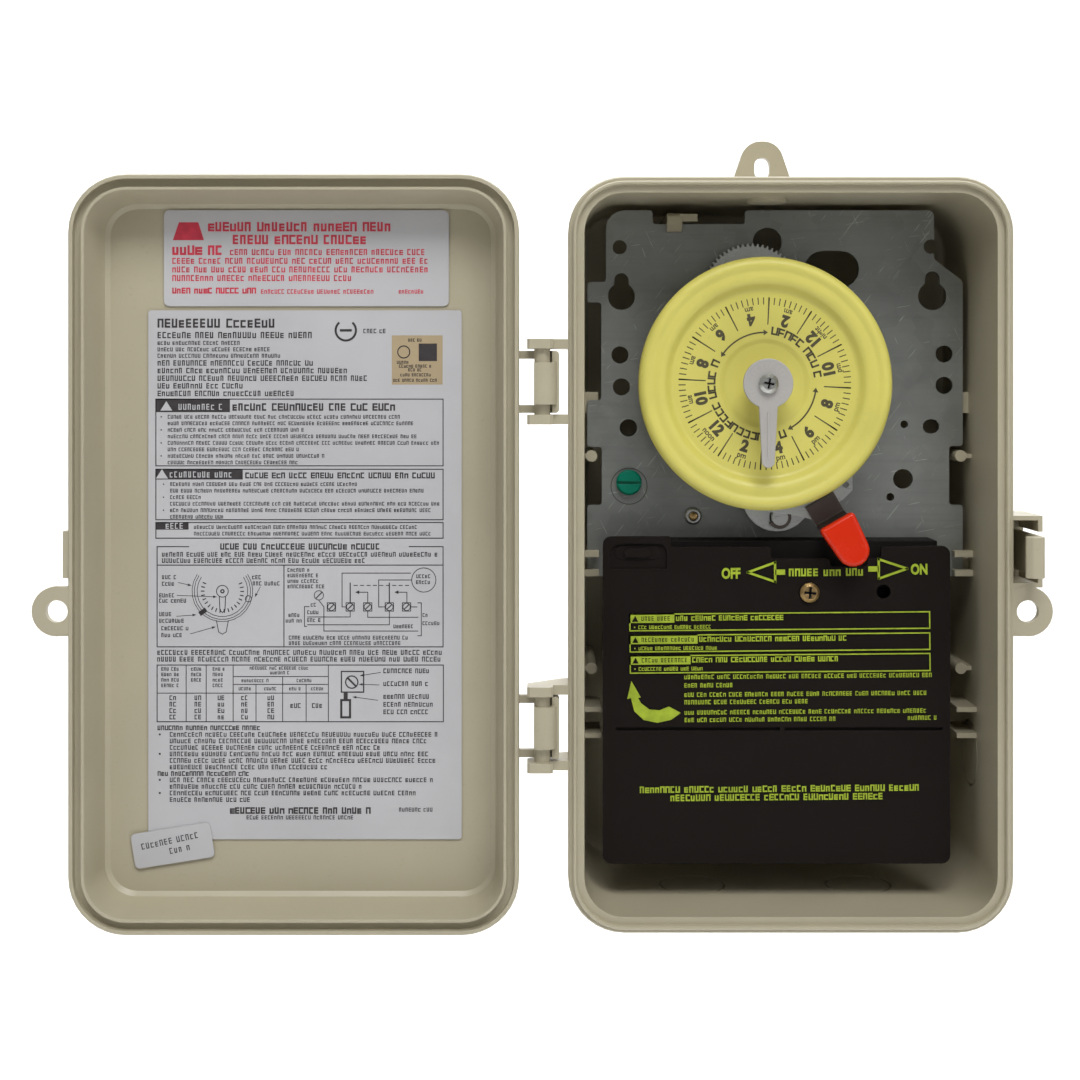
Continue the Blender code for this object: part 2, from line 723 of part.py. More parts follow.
def build_trip_lever():
    pivot = (LEVER_X, 0, LEVER_Z)
    post = [(0, ON_PLATE_Y), (4.4, ON_PLATE_Y), (4.4, -42.0), (2.6, -42.0), (2.6, -49.6), (1.9, -49.6)]
    post += [(1.9, -51.8), (2.9, -51.8), (2.9, -52.6), (0, -52.6)]
    finish("lever_pivot_stud", turned(post, LEVER_X, LEVER_Z, 18), zinc())

    corners = [
        (3.5, 31.5, 2.0),
        (-4.6, 15.5, 2.0),
        (-4.2, 11.7, 1.0),
        (3.9, 10.8, 1.5),
        (10.1, 9.3, 1.0),
        (20.5, 15.8, 1.5),
        (23.4, 18.7, 0.8),
        (23.4, 23.2, 0.8),
        (18.0, 33.0, 3.0),
    ]
    arm = finish("trip_lever", slab(rounded(corners, 3), -49.9, -51.4), zinc(), pivot)
    cut_holes(arm, [circle(LEVER_X, LEVER_Z, 2.2, 14), circle(21.1, 20.6, 1.1, 10)], -48, -54)

    path = [(-7.0, -51.7), (0.5, -51.7), (3.5, -60.2), (9.0, -60.2), (9.0, -61.2), (2.8, -61.2)]
    path += [(-0.2, -52.7), (-7.0, -52.7)]

    def place(t, y, side):
        x, z = along_tip(t, side)
        return x, y, z

    strip = prism(path, -5.2, 5.2, place)
    finish("lever_strip", strip, dark_steel(), pivot)

    top = [along_tip(t, s) for t, s in ((0.0, 6.2), (0.0, -6.2))]
    lower = []
    for i in range(9):
        angle = math.radians(180 * i / 8)
        lower.append(along_tip(10.7 + 5.25 * math.sin(angle), -5.25 * math.cos(angle)))
    red = material("red_vinyl", (0.6, 0.02, 0.004), 0.3)
    finish("lever_tip", slab(top + lower, -61.5, -66.0), red, pivot)


def build_switch():
    post = [(0, ON_PLATE_Y), (4.0, ON_PLATE_Y), (4.0, -44.0), (2.7, -44.0), (2.7, -46.9), (1.9, -46.9)]
    post += [(1.9, -48.3), (2.7, -48.3), (2.7, -49.2), (0, -49.2)]
    finish("cam_post", turned(post, CAM_POST_X, CAM_POST_Z, 16), zinc())
    disc = slab(circle(-0.4, 16.1, 11.3, 28), -44.6, -46.3)
    cam = finish("switch_cam", disc, zinc(), (CAM_POST_X, 0, CAM_POST_Z))
    cut_holes(cam, [circle(CAM_POST_X, CAM_POST_Z, 3.0, 14)], -43, -48)
    clip = arc(CAM_POST_X, CAM_POST_Z, 3.9, -150, 65, 12)
    clip += arc(CAM_POST_X, CAM_POST_Z, 2.2, 65, -150, 9)
    finish("post_clip", slab(clip, -47.2, -48.0), dark_steel())

    carrier = box(-24.0, 24.4, -46.0, -41.0, ROCKER_Z - 1.3, ROCKER_Z + 1.3)
    carrier = finish("contact_carrier", carrier, black_plastic(), (CAM_POST_X, 0, ROCKER_Z))
    join(carrier, [slab(circle(CAM_POST_X, ROCKER_Z, 3.0, 16), -45.8, -41.2)])
    cut_holes(carrier, [circle(CAM_POST_X, ROCKER_Z, 1.6, 14)], -40, -48)
    for i, (x, up) in enumerate(((-21.0, -1), (21.4, 1)), 1):
        inner, outer = sorted((ROCKER_Z + up * 1.6, ROCKER_Z + up * 2.6))
        finish(f"moving_contact_{i}", box(x - 1.6, x + 1.6, -45.2, -42.0, inner, outer), brass())
        inner, outer = sorted((ROCKER_Z + up * 3.0, ROCKER_Z + up * 4.2))
        finish(f"fixed_contact_{i}", box(x - 2.0, x + 2.0, -46.5, ON_PLATE_Y, inner, outer), brass())


def build_switch_housing():
    housing = finish("switch_housing", box(-35.8, 50.7, -52.0, ON_PLATE_Y, -12.9, 2.4), black_plastic())
    cut(housing, [box(-34.4, 49.3, -50.6, ON_PLATE_Y + 1, -11.5, 1.0)])
    join(housing, [slab(circle(CAM_POST_X, ROCKER_Z, 1.2, 14), -51.2, -39.5)])


# ---------------------------------------------------------------- terminals and guard


def terminal_x(i):
    return (i - (TERMINAL_COUNT - 1) / 2) * TERMINAL_PITCH


def build_terminals():
    block = finish("terminal_block", box(-50.0, 48.0, -50.0, ON_PLATE_Y, -62.0, -13.3), black_plastic())
    pockets = []
    for i in range(TERMINAL_COUNT):
        x = terminal_x(i)
        pockets.append(box(x - 7.4, x + 7.4, -52.0, -43.0, -65.0, -24.0))
    pockets.append(slab(circle(GUARD_SCREW_X, GUARD_SCREW_Z - 4.5, 2.0, 12), -52.0, -44.0))
    cut(block, pockets)
    for i in range(TERMINAL_COUNT):
        x = terminal_x(i)
        finish(f"terminal_plate_{i + 1}", box(x - 6.0, x + 6.0, -44.2, -43.3, -50.0, -27.0), brass())
        head = [(0, -44.5), (4.4, -44.5), (4.4, -46.4), (3.6, -47.2), (0, -47.2)]
        screw = finish(f"terminal_screw_{i + 1}", turned(head, x, -38.0, 16), zinc())
        cut(screw, [box(x - 5.5, x + 5.5, -48.0, -46.3, -38.5, -37.5)])


def build_guard():
    corners = [
        (-57.7, 4.1, 2.7),
        (-35.8, 4.1, 0.8),
        (-35.8, 0.7, 0.6),
        (-3.7, 0.7, 0.6),
        (-3.7, -3.0, 1.0),
        (15.3, -3.0, 0.8),
        (15.3, -5.6, 1.2),
        (27.4, -5.6, 1.2),
        (27.4, -3.0, 0.8),
        (31.8, -3.0, 1.0),
        (31.8, 0.7, 0.6),
        (54.0, 1.1, 2.7),
        (54.0, -101.1, 2.7),
        (-57.7, -101.1, 2.7),
    ]
    guard = finish("terminal_guard", slab(rounded(corners, 4), GUARD_BACK_Y, GUARD_FRONT_Y), black_plastic())
    ribs = [box(-57.2, -55.6, -50.5, -54.9, -98.0, 1.0), box(51.9, 53.5, -50.5, -54.9, -98.0, -2.0)]
    join(guard, ribs)
    cut_holes(guard, [circle(GUARD_SCREW_X, GUARD_SCREW_Z, 2.0, 14), circle(32.6, -13.7, 2.3, 14)], -52, -58)
    recess_y = GUARD_FRONT_Y + 1.0
    pocket = rounded([(-55.4, 1.8, 3.6), (-37.1, 1.8, 3.0), (-37.1, -6.4, 0.6), (-55.4, -6.4, 0.6)], 4)
    score = [box(x0, x1, recess_y + 0.1, -58, -58.3, -57.2) for x0, x1 in ((-53.5, -0.8), (0.8, 51.5))]
    cut(guard, [slab(pocket, recess_y, -58)] + score)
    boss = slab(obround(-46.5, -1.2, 4.4, 1.4, steps=5), recess_y + 0.4, GUARD_FRONT_Y - 0.4)
    collar = slab(obround(-46.5, -1.2, 7.4, 2.1, steps=5), recess_y + 0.4, recess_y - 0.3)
    join(guard, [boss, collar])
    head = [(0, -52.5), (1.6, -52.5), (1.6, -56.3), (3.2, -56.3), (3.2, -57.2), (2.3, -58.0), (0, -58.0)]
    screw = finish("guard_screw", turned(head, GUARD_SCREW_X, GUARD_SCREW_Z, 18), brass())
    cut(screw, cross_slots(GUARD_SCREW_X, GUARD_SCREW_Z, 1.9, -59.0, -57.4))


def main():
    clear_scene()
    build_base()
    build_door()
    build_latch()
    build_plate_clip()
    build_labels()
    build_plate()
    build_plate_hardware()
    build_motor()
    build_gears()
    build_dial()
    build_trip_lever()
    build_switch()
    build_switch_housing()
    build_terminals()
    build_guard()


main()
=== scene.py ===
import json
import math
import random

import bmesh
import bpy
from mathutils import Matrix, Vector


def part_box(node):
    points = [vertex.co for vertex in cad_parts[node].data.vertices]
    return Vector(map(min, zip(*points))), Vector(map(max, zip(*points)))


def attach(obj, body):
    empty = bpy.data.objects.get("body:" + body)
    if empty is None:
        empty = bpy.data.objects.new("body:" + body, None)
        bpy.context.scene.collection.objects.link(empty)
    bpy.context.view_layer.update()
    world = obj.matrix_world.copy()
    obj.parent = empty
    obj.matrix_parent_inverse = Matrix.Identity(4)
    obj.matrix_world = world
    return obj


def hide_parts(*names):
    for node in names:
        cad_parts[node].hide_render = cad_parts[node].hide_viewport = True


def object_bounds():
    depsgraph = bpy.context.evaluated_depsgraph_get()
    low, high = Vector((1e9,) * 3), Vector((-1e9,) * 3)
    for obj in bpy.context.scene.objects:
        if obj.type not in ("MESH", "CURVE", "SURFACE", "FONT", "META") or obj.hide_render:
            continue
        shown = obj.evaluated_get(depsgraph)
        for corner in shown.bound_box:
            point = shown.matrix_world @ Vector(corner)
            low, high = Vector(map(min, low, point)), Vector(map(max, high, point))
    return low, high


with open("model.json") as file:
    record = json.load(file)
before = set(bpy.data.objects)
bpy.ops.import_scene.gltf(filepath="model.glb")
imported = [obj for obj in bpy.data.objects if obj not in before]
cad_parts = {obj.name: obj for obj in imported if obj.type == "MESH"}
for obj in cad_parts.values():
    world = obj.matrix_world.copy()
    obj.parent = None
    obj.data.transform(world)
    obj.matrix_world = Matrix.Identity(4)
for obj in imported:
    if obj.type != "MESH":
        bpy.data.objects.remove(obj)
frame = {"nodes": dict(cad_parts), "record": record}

# Looks for the wall-mounted 24-hour time switch. Shapes here are in millimetres in the frame's own
# axes (X right, Y into the wall, Z up) and are scaled to metres when each mesh is made.

CAD_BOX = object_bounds()
MM = 0.001
BODY_OF = {n: b for b, ns in frame["record"]["behaviour"]["bodies"].items() for n in ns}
SLOT_OF = {s["node"]: s["material_slot"] for s in frame["record"]["subparts"]}


def centre(node):
    corner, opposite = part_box(node)
    return (corner + opposite) * (0.5 / MM)


def low(node):
    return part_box(node)[0] / MM


def high(node):
    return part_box(node)[1] / MM


# ---------------------------------------------------------------- materials


class Nodes:
    """A small helper to lay out one material's nodes."""

    def __init__(self, name):
        self.material = bpy.data.materials.new(name)
        self.material.use_nodes = True
        self.tree = self.material.node_tree
        self.shader = self.tree.nodes["Principled BSDF"]
        self.place = self.tree.nodes.new("ShaderNodeTexCoord").outputs["Object"]

    def add(self, kind, **inputs):
        node = self.tree.nodes.new(kind)
        for key, value in inputs.items():
            self.feed(node.inputs[key.replace("_", " ")], value)
        return node

    def feed(self, socket, value):
        if isinstance(value, bpy.types.NodeSocket):
            self.tree.links.new(value, socket)
        else:
            socket.default_value = value

    def stretched(self, scale, turn=0.0):
        """Coordinates rolled by turn degrees in the front view, then drawn out along the axes."""
        node = self.add("ShaderNodeMapping", Vector=self.place)
        node.vector_type = "TEXTURE"
        node.inputs["Rotation"].default_value = (0.0, math.radians(turn), 0.0)
        node.inputs["Scale"].default_value = tuple(1 / factor for factor in scale)
        return node.outputs["Vector"]

    def noise(self, scale, detail=3.0, rough=0.5, vector=None):
        place = vector or self.place
        made = self.add("ShaderNodeTexNoise", Vector=place, Scale=scale, Detail=detail, Roughness=rough)
        return made.outputs["Fac"]

    def ramp(self, value, start, end, low_out, high_out):
        node = self.add("ShaderNodeMapRange", Value=value)
        names = ("From Min", "From Max", "To Min", "To Max")
        for key, number in zip(names, (start, end, low_out, high_out)):
            node.inputs[key].default_value = number
        return node.outputs["Result"]

    def mix(self, factor, a, b, mode="MIX"):
        node = self.tree.nodes.new("ShaderNodeMix")
        node.data_type = "RGBA"
        node.blend_type = mode
        self.feed(node.inputs[0], factor)
        self.feed(node.inputs[6], (*a, 1.0) if isinstance(a, tuple) else a)
        self.feed(node.inputs[7], (*b, 1.0) if isinstance(b, tuple) else b)
        return node.outputs[2]

    def multiply(self, a, b):
        node = self.tree.nodes.new("ShaderNodeMath")
        node.operation = "MULTIPLY"
        self.feed(node.inputs[0], a)
        self.feed(node.inputs[1], b)
        return node.outputs[0]

    # Convex edges, from pointiness: the mask for paler edges, partly worn and partly painted highlight.
    def edges(self, start=0.51, end=0.58):
        geometry = self.tree.nodes.new("ShaderNodeNewGeometry")
        return self.ramp(geometry.outputs["Pointiness"], start, end, 0.0, 1.0)

    def bump(self, height, strength, distance, normal=None):
        node = self.add("ShaderNodeBump", Height=height, Strength=strength, Distance=distance)
        if normal:
            self.feed(node.inputs["Normal"], normal)
        return node.outputs["Normal"]

    def finish(self, colour, roughness, metallic=0.0, normal=None, **fixed):
        self.feed(self.shader.inputs["Base Color"], (*colour, 1.0) if isinstance(colour, tuple) else colour)
        self.feed(self.shader.inputs["Roughness"], roughness)
        self.shader.inputs["Metallic"].default_value = metallic
        if normal:
            self.feed(self.shader.inputs["Normal"], normal)
        for key, value in fixed.items():
            self.shader.inputs[key.replace("_", " ")].default_value = value
        return self.material


def tone(colour, factor):
    return tuple(channel * factor for channel in colour)


def moulded_plastic(name, colour, roughness, grain, wear_and_highlight, shine=0.5):
    """Moulded plastic: faint flow clouds, fine grain in the gloss, paler on convex edges, partly worn and
    partly painted highlight.
    """
    n = Nodes(name)
    clouds = n.ramp(n.noise(14.0, 4.0), 0.3, 0.7, 0.0, 1.0)
    specks = n.ramp(n.noise(900.0, 2.0), 0.62, 0.8, 0.0, 0.35)
    body = n.mix(clouds, tone(colour, 0.94), tone(colour, 1.05))
    body = n.mix(specks, body, tone(colour, 0.8))
    # Paler convex edges: partly worn, partly painted highlight.
    body = n.mix(n.multiply(n.edges(), wear_and_highlight), body, tone(colour, 1.25))
    gloss = n.ramp(n.noise(55.0, 3.0), 0.3, 0.7, roughness - 0.05, roughness + 0.07)
    normal = n.bump(n.noise(2600.0, 2.0), grain, 0.00008)
    normal = n.bump(n.noise(120.0, 2.0), 0.12, 0.0003, normal)
    return n.finish(body, gloss, 0.0, normal, Specular_IOR_Level=shine)


def galvanised_sheet():
    """Passivated steel: soft spangle, rolling streaks and a few handling marks."""
    n = Nodes("galvanised_sheet")
    cells = n.add("ShaderNodeTexVoronoi", Vector=n.place, Scale=170.0).outputs["Color"]
    spangle = n.ramp(cells, 0.0, 1.0, 0.0, 1.0)
    streaks = n.noise(30.0, 5.0, 0.6, n.stretched((0.6, 1.0, 14.0)))
    clouds = n.ramp(n.noise(26.0, 4.0), 0.3, 0.7, 0.0, 1.0)
    body = n.mix(clouds, (0.215, 0.225, 0.213), (0.31, 0.32, 0.305))
    body = n.mix(n.multiply(spangle, 0.3), body, (0.38, 0.39, 0.375))
    body = n.mix(n.ramp(streaks, 0.5, 0.75, 0.0, 0.2), body, (0.15, 0.155, 0.145))
    for turn, start in ((38.0, 0.7), (-24.0, 0.72), (80.0, 0.71)):
        scratches = n.noise(150.0, 2.0, 0.5, n.stretched((12.0, 1.0, 0.6), turn))
        body = n.mix(n.ramp(scratches, start, start + 0.03, 0.0, 0.6), body, (0.62, 0.63, 0.61))
    gloss = n.ramp(n.noise(80.0, 4.0), 0.3, 0.7, 0.34, 0.5)
    normal = n.bump(spangle, 0.08, 0.0001)
    normal = n.bump(streaks, 0.1, 0.0001, normal)
    return n.finish(body, gloss, 0.75, normal)


def plated_metal(name, colour, roughness, metallic=1.0, grain=(1.0, 1.0, 18.0)):
    """Plated or machined metal: fine drawn grain in darker streaks, brighter on convex edges, partly worn
    plating and partly painted highlight.
    """
    n = Nodes(name)
    drawn = n.noise(260.0, 4.0, 0.6, n.stretched(grain))
    clouds = n.ramp(n.noise(90.0, 3.0), 0.3, 0.7, 0.0, 1.0)
    body = n.mix(clouds, tone(colour, 0.86), tone(colour, 1.06))
    body = n.mix(n.ramp(drawn, 0.45, 0.8, 0.0, 0.4), body, tone(colour, 0.65))
    # Brighter convex edges: partly worn plating, partly painted highlight.
    body = n.mix(n.multiply(n.edges(), 0.6), body, tone(colour, 1.3))
    gloss = n.ramp(drawn, 0.3, 0.7, roughness - 0.06, roughness + 0.1)
    normal = n.bump(drawn, 0.15, 0.00006)
    return n.finish(body, gloss, metallic, normal)


def satin_paint(name, colour, roughness, coat=0.0, shine=0.5):
    """Sprayed or dipped coat: orange peel, slight tone drift, dust in the gloss."""
    n = Nodes(name)
    clouds = n.ramp(n.noise(35.0, 4.0), 0.3, 0.7, 0.0, 1.0)
    body = n.mix(clouds, tone(colour, 0.93), tone(colour, 1.05))
    body = n.mix(n.ramp(n.noise(700.0, 2.0), 0.66, 0.8, 0.0, 0.3), body, tone(colour, 0.75))
    # Paler convex edges: partly worn coat, partly painted highlight.
    body = n.mix(n.multiply(n.edges(), 0.35), body, tone(colour, 1.25))
    gloss = n.ramp(n.noise(160.0, 3.0), 0.3, 0.7, roughness - 0.05, roughness + 0.08)
    normal = n.bump(n.noise(420.0, 2.0), 0.18, 0.0001)
    return n.finish(body, gloss, 0.0, normal, Coat_Weight=coat, Coat_Roughness=0.12, Specular_IOR_Level=shine)


def paper(name, colour, roughness=0.5):
    """Coated label stock with faint fibres and a soft smudge."""
    n = Nodes(name)
    fibres = n.noise(1500.0, 3.0, 0.6, n.stretched((1.0, 1.0, 3.0)))
    smudge = n.ramp(n.noise(22.0, 4.0), 0.35, 0.7, 0.0, 1.0)
    body = n.mix(smudge, tone(colour, 0.93), tone(colour, 1.03))
    body = n.mix(n.ramp(fibres, 0.55, 0.75, 0.0, 0.2), body, tone(colour, 0.85))
    gloss = n.ramp(n.noise(70.0, 3.0), 0.3, 0.7, roughness - 0.08, roughness + 0.06)
    return n.finish(body, gloss, 0.0, n.bump(fibres, 0.08, 0.00005), IOR=1.45)


def ink(name, colour, roughness=0.45):
    """Printed ink, a little thin and uneven."""
    n = Nodes(name)
    uneven = n.ramp(n.noise(380.0, 3.0), 0.35, 0.7, 0.0, 1.0)
    body = n.mix(uneven, tone(colour, 0.85), tone(colour, 1.15))
    return n.finish(body, n.ramp(uneven, 0.0, 1.0, roughness - 0.05, roughness + 0.08), 0.0, None)


BEIGE = (0.43, 0.39, 0.28)
MATERIALS = {
    "case_plastic": moulded_plastic("case_beige", BEIGE, 0.4, 0.12, 0.0),
    "galvanised_steel": galvanised_sheet(),
    "zinc_steel": plated_metal("zinc_plate", (0.56, 0.57, 0.55), 0.3),
    "dark_steel": plated_metal("spring_steel", (0.12, 0.1, 0.09), 0.35, 0.9),
    "black_plastic": moulded_plastic("black_moulding", (0.0105, 0.008, 0.007), 0.36, 0.15, 0.15, 0.09),
    "brass": plated_metal("brass_plate", (0.5, 0.34, 0.15), 0.3),
    "label_stock": paper("label_stock", (0.5, 0.5, 0.515)),
    "dial_yellow": satin_paint("dial_paint", (0.62, 0.565, 0.125), 0.42),
    "pointer_grey": satin_paint("pointer_paint", (0.4, 0.385, 0.365), 0.35),
    "red_vinyl": satin_paint("vinyl_dip", (0.62, 0.022, 0.002), 0.22, 0.1, 0.3),
    "green_screw": satin_paint("green_head", (0.0, 0.2, 0.125), 0.3, 0.15, 0.2),
    "coil_tape": paper("coil_tape", (0.5, 0.33, 0.05)),
}
# Painted shade: a darker, rougher, duller copy of the black moulding, used for the switch housing and the
# screws' driver recesses.
PAINTED_SHADE_BLACK = moulded_plastic("painted_shade_black", (0.009, 0.008, 0.0075), 0.6, 0.15, 0.3, 0.05)
# Painted shade: dark metal for the shaded groove of the ring stamped round the ground screw.
STAMPED_GROOVE_SHADE = plated_metal("stamped_groove_shade", (0.1, 0.1, 0.095), 0.45, 0.6)
INK_BLACK = ink("ink_black", (0.035, 0.03, 0.032))
INK_RED = ink("ink_red", (0.56, 0.035, 0.065))
INK_LIME = ink("ink_lime", (0.33, 0.43, 0.02))
INK_DIAL = ink("ink_dial", (0.07, 0.06, 0.03))
TAN_PAPER = paper("tan_paper", (0.42, 0.33, 0.2))


# ---------------------------------------------------------------- mesh helpers


def to_object(name, bm, material, body, replaces=(), smooth=34):
    bmesh.ops.scale(bm, vec=(MM, MM, MM), verts=bm.verts)
    bmesh.ops.recalc_face_normals(bm, faces=bm.faces)
    mesh = bpy.data.meshes.new(name)
    bm.to_mesh(mesh)
    bm.free()
    mesh.shade_smooth()
    mesh.set_sharp_from_angle(angle=math.radians(smooth))
    mesh.materials.append(material)
    obj = bpy.data.objects.new(name, mesh)
    bpy.context.scene.collection.objects.link(obj)
    if body:
        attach(obj, body)
    if replaces:
        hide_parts(*replaces)
    return obj


def soften(obj, width, segments=2, angle=35):
    """Rolls the sharp edges over, as moulding or tumbling leaves them."""
    bevel = obj.modifiers.new("edge", "BEVEL")
    bevel.width = width * MM
    bevel.segments = segments
    bevel.limit_method = "ANGLE"
    bevel.angle_limit = math.radians(angle)
    bevel.miter_outer = "MITER_ARC"
    bevel.harden_normals = True
    return settle(obj)


def settle(obj):
    """Lets the large flats set the shading, so that rounded corners don't bleed into them."""
    flats = obj.modifiers.new("flats", "WEIGHTED_NORMAL")
    flats.weight = 100
    flats.keep_sharp = True
    return obj


def merged(node, degrees):
    """The CAD node's mesh in millimetres, with faces that turn by less than degrees made one."""
    bm = bmesh.new()
    bm.from_mesh(frame["nodes"][node].data)
    bmesh.ops.remove_doubles(bm, verts=bm.verts, dist=1e-6)
    limit = math.radians(degrees)
    bmesh.ops.dissolve_limit(
        bm, angle_limit=limit, verts=bm.verts, edges=bm.edges, use_dissolve_boundaries=False
    )
    bmesh.ops.scale(bm, vec=(1 / MM, 1 / MM, 1 / MM), verts=bm.verts)
    return bm


def refined(node, width, segments=2, material=None):
    """The CAD node's own shape, with its flats merged and its edges rolled over."""
    bm = merged(node, 0.05)
    slot = SLOT_OF[node]
    finish = material or MATERIALS[slot]
    obj = to_object(node + "_fine", bm, finish, BODY_OF[node], (node,))
    return soften(obj, width, segments) if width else settle(obj)


def arc(cx, cz, radius, start, end, steps):
    points = []
    for i in range(steps + 1):
        angle = math.radians(start + (end - start) * i / steps)
        points.append((cx + radius * math.cos(angle), cz + radius * math.sin(angle)))
    return points


def add_prism(bm, outline, y0, y1):
    """An (x, z) outline between two depths, added to bm."""
    back = [bm.verts.new((x, y0, z)) for x, z in outline]
    front = [bm.verts.new((x, y1, z)) for x, z in outline]
    bm.faces.new(back)
    bm.faces.new(front)
    for i in range(len(back)):
        j = (i + 1) % len(back)
        bm.faces.new((back[i], back[j], front[j], front[i]))


def add_bar(bm, x0, x1, z0, z1, y0, y1):
    add_prism(bm, [(x0, z0), (x1, z0), (x1, z1), (x0, z1)], y0, y1)


def add_turned(bm, profile, cx, cz, steps, closed=True):
    """A profile of (radius, y) turned about a Y axis; radius 0 at both ends closes on the axis."""
    rows = []
    for radius, y in profile:
        if radius == 0:
            rows.append([bm.verts.new((cx, y, cz))])
        else:
            ring = arc(cx, cz, radius, 0, 360, steps)[:-1]
            rows.append([bm.verts.new((x, y, z)) for x, z in ring])
    pairs = list(zip(rows, rows[1:]))
    if closed and len(rows[0]) > 1:
        pairs.append((rows[-1], rows[0]))
    for a, b in pairs:
        for i in range(steps):
            j = (i + 1) % steps
            if len(a) == 1:
                bm.faces.new((a[0], b[i], b[j]))
            elif len(b) == 1:
                bm.faces.new((a[i], a[j], b[0]))
            else:
                bm.faces.new((a[i], a[j], b[j], b[i]))


def text_mesh(bm, text, x, z, height, y_back, depth, turn=0.0, stretch=1.0, weight=0.0):
    """Generic lettering as thin raised print; x, z is its middle and turn is its roll in degrees."""
    curve = bpy.data.curves.new("lettering", "FONT")
    curve.body = text
    curve.align_x = "CENTER"
    curve.align_y = "CENTER"
    curve.size = height * 1.38
    curve.resolution_u = 3
    curve.extrude = depth / 2
    curve.offset = weight * height
    holder = bpy.data.objects.new("lettering", curve)
    bpy.context.scene.collection.objects.link(holder)
    mesh = bpy.data.meshes.new_from_object(holder)
    mesh.transform(Matrix.Diagonal((stretch, 1, 1, 1)))
    mesh.transform(Matrix.Rotation(math.radians(90), 4, "X"))
    mesh.transform(Matrix.Rotation(math.radians(turn), 4, "Y"))
    mesh.transform(Matrix.Translation((x, y_back - depth / 2, z)))
    bm.from_mesh(mesh)
    bpy.data.objects.remove(holder)
    bpy.data.meshes.remove(mesh)


class Print:
    """Thin ink on the front face of a node, laid out in millimetres right (u) and down (v) from its top left.

    Text is greeked: runs of small upright blocks, which say nothing."""

    def __init__(self, node, seed, lift=0.0):
        self.node = node
        self.left = low(node).x
        self.top = high(node).z
        self.y = low(node).y - lift
        self.bm = bmesh.new()
        self.random = random.Random(seed)

    def shape(self, points):
        add_prism(self.bm, [(self.left + u, self.top - v) for u, v in points], self.y + 0.02, self.y - 0.05)

    def bar(self, u0, u1, v0, v1):
        self.shape([(u0, v0), (u1, v0), (u1, v1), (u0, v1)])

    def frame(self, u0, u1, v0, v1, width=0.3):
        self.bar(u0, u1, v0, v0 + width)
        self.bar(u0, u1, v1 - width, v1)
        self.bar(u0, u0 + width, v0 + width, v1 - width)
        self.bar(u1 - width, u1, v0 + width, v1 - width)

    def words(self, u0, u1, v, height, weight=0.62):
        """One greeked line between u0 and u1, centred on v."""
        step = height * 0.78
        at = u0
        while at < u1 - step * 0.6:
            for _ in range(self.random.randint(3, 9)):
                if at > u1 - step * 0.6:
                    break
                tall = height * self.random.choice((1.0, 1.0, 0.84))
                wide = step * (weight + 0.12) * self.random.uniform(0.9, 1.1)
                self.strokes(at, at + wide, v + height / 2 - tall, v + height / 2, step * weight * 0.4)
                at += step
            at += step * 0.7

    def strokes(self, u0, u1, v0, v1, pen):
        """One stand-in letter: two posts and a link, or a post and two arms."""
        style = self.random.randint(0, 3)
        self.bar(u0, u0 + pen, v0, v1)
        if style < 2:
            self.bar(u1 - pen, u1, v0, v1)
            link = (v0, v1 - pen)[style]
            self.bar(u0 + pen, u1 - pen, link, link + pen)
        else:
            for arm in (v0, (v0 + v1 - pen) / 2)[: style - 1] + (v1 - pen,):
                self.bar(u0 + pen, u1, arm, arm + pen)

    def lines(self, u0, ends, v, pitch, height):
        for i, end in enumerate(ends):
            self.words(u0, end, v + pitch * i, height)

    def path(self, points, width=0.25):
        """A run of straight strokes through the points."""
        for (u0, v0), (u1, v1) in zip(points, points[1:]):
            long = math.hypot(u1 - u0, v1 - v0)
            across = Vector((v0 - v1, u1 - u0)) * (width / 2 / long)
            along = Vector((u1 - u0, v1 - v0)) * (width / 2 / long)
            ends = [Vector((u0, v0)) - along, Vector((u1, v1)) + along]
            self.shape([ends[0] + across, ends[1] + across, ends[1] - across, ends[0] - across])

    def arrow(self, start, end, size=0.9):
        """A thin line with a filled head at its end."""
        a, b = Vector(start), Vector(end)
        along = (b - a).normalized() * size
        across = Vector((-along.y, along.x)) * 0.45
        self.path([start, b - along], 0.18)
        self.shape([b, b - along * 1.4 + across, b - along * 1.4 - across])

    def ring(self, u, v, radius, width=0.25, start=0.0, end=360.0):
        """A ring, or the part of it from start to end degrees clockwise from the top."""
        steps = max(8, round((end - start) / 15))
        turns = [math.radians(start + (end - start) * i / steps) for i in range(steps + 1)]
        outer = [(u + radius * math.sin(t), v - radius * math.cos(t)) for t in turns]
        inner = [(u + (radius - width) * math.sin(t), v - (radius - width) * math.cos(t)) for t in turns]
        for i in range(steps):
            self.shape([outer[i], outer[i + 1], inner[i + 1], inner[i]])

    def letters(self, text, u, v, height, stretch=1.0):
        text_mesh(self.bm, text, self.left + u, self.top - v, height, self.y + 0.02, 0.07, 0, stretch, 0.06)

    def finish(self, name, ink_material, turn=0.0):
        """Makes the print one object; turn rolls it about the node's middle."""
        if turn:
            middle = centre(self.node)
            roll = Matrix.Rotation(math.radians(turn), 3, "Y")
            bmesh.ops.rotate(self.bm, cent=(middle.x, 0, middle.z), matrix=roll, verts=self.bm.verts)
        return to_object(name, self.bm, ink_material, BODY_OF[self.node])


# ---------------------------------------------------------------- stage


def aim_at(obj, target):
    obj.rotation_euler = (Vector(target) - obj.location).to_track_quat("-Z", "Y").to_euler()


def area_light(name, place, target, size, power, colour=(1, 1, 1)):
    data = bpy.data.lights.new(name, "AREA")
    data.shape = "RECTANGLE"
    data.size, data.size_y = size
    data.energy = power
    data.color = colour
    obj = bpy.data.objects.new(name, data)
    obj.location = place
    bpy.context.scene.collection.objects.link(obj)
    aim_at(obj, target)
    return obj


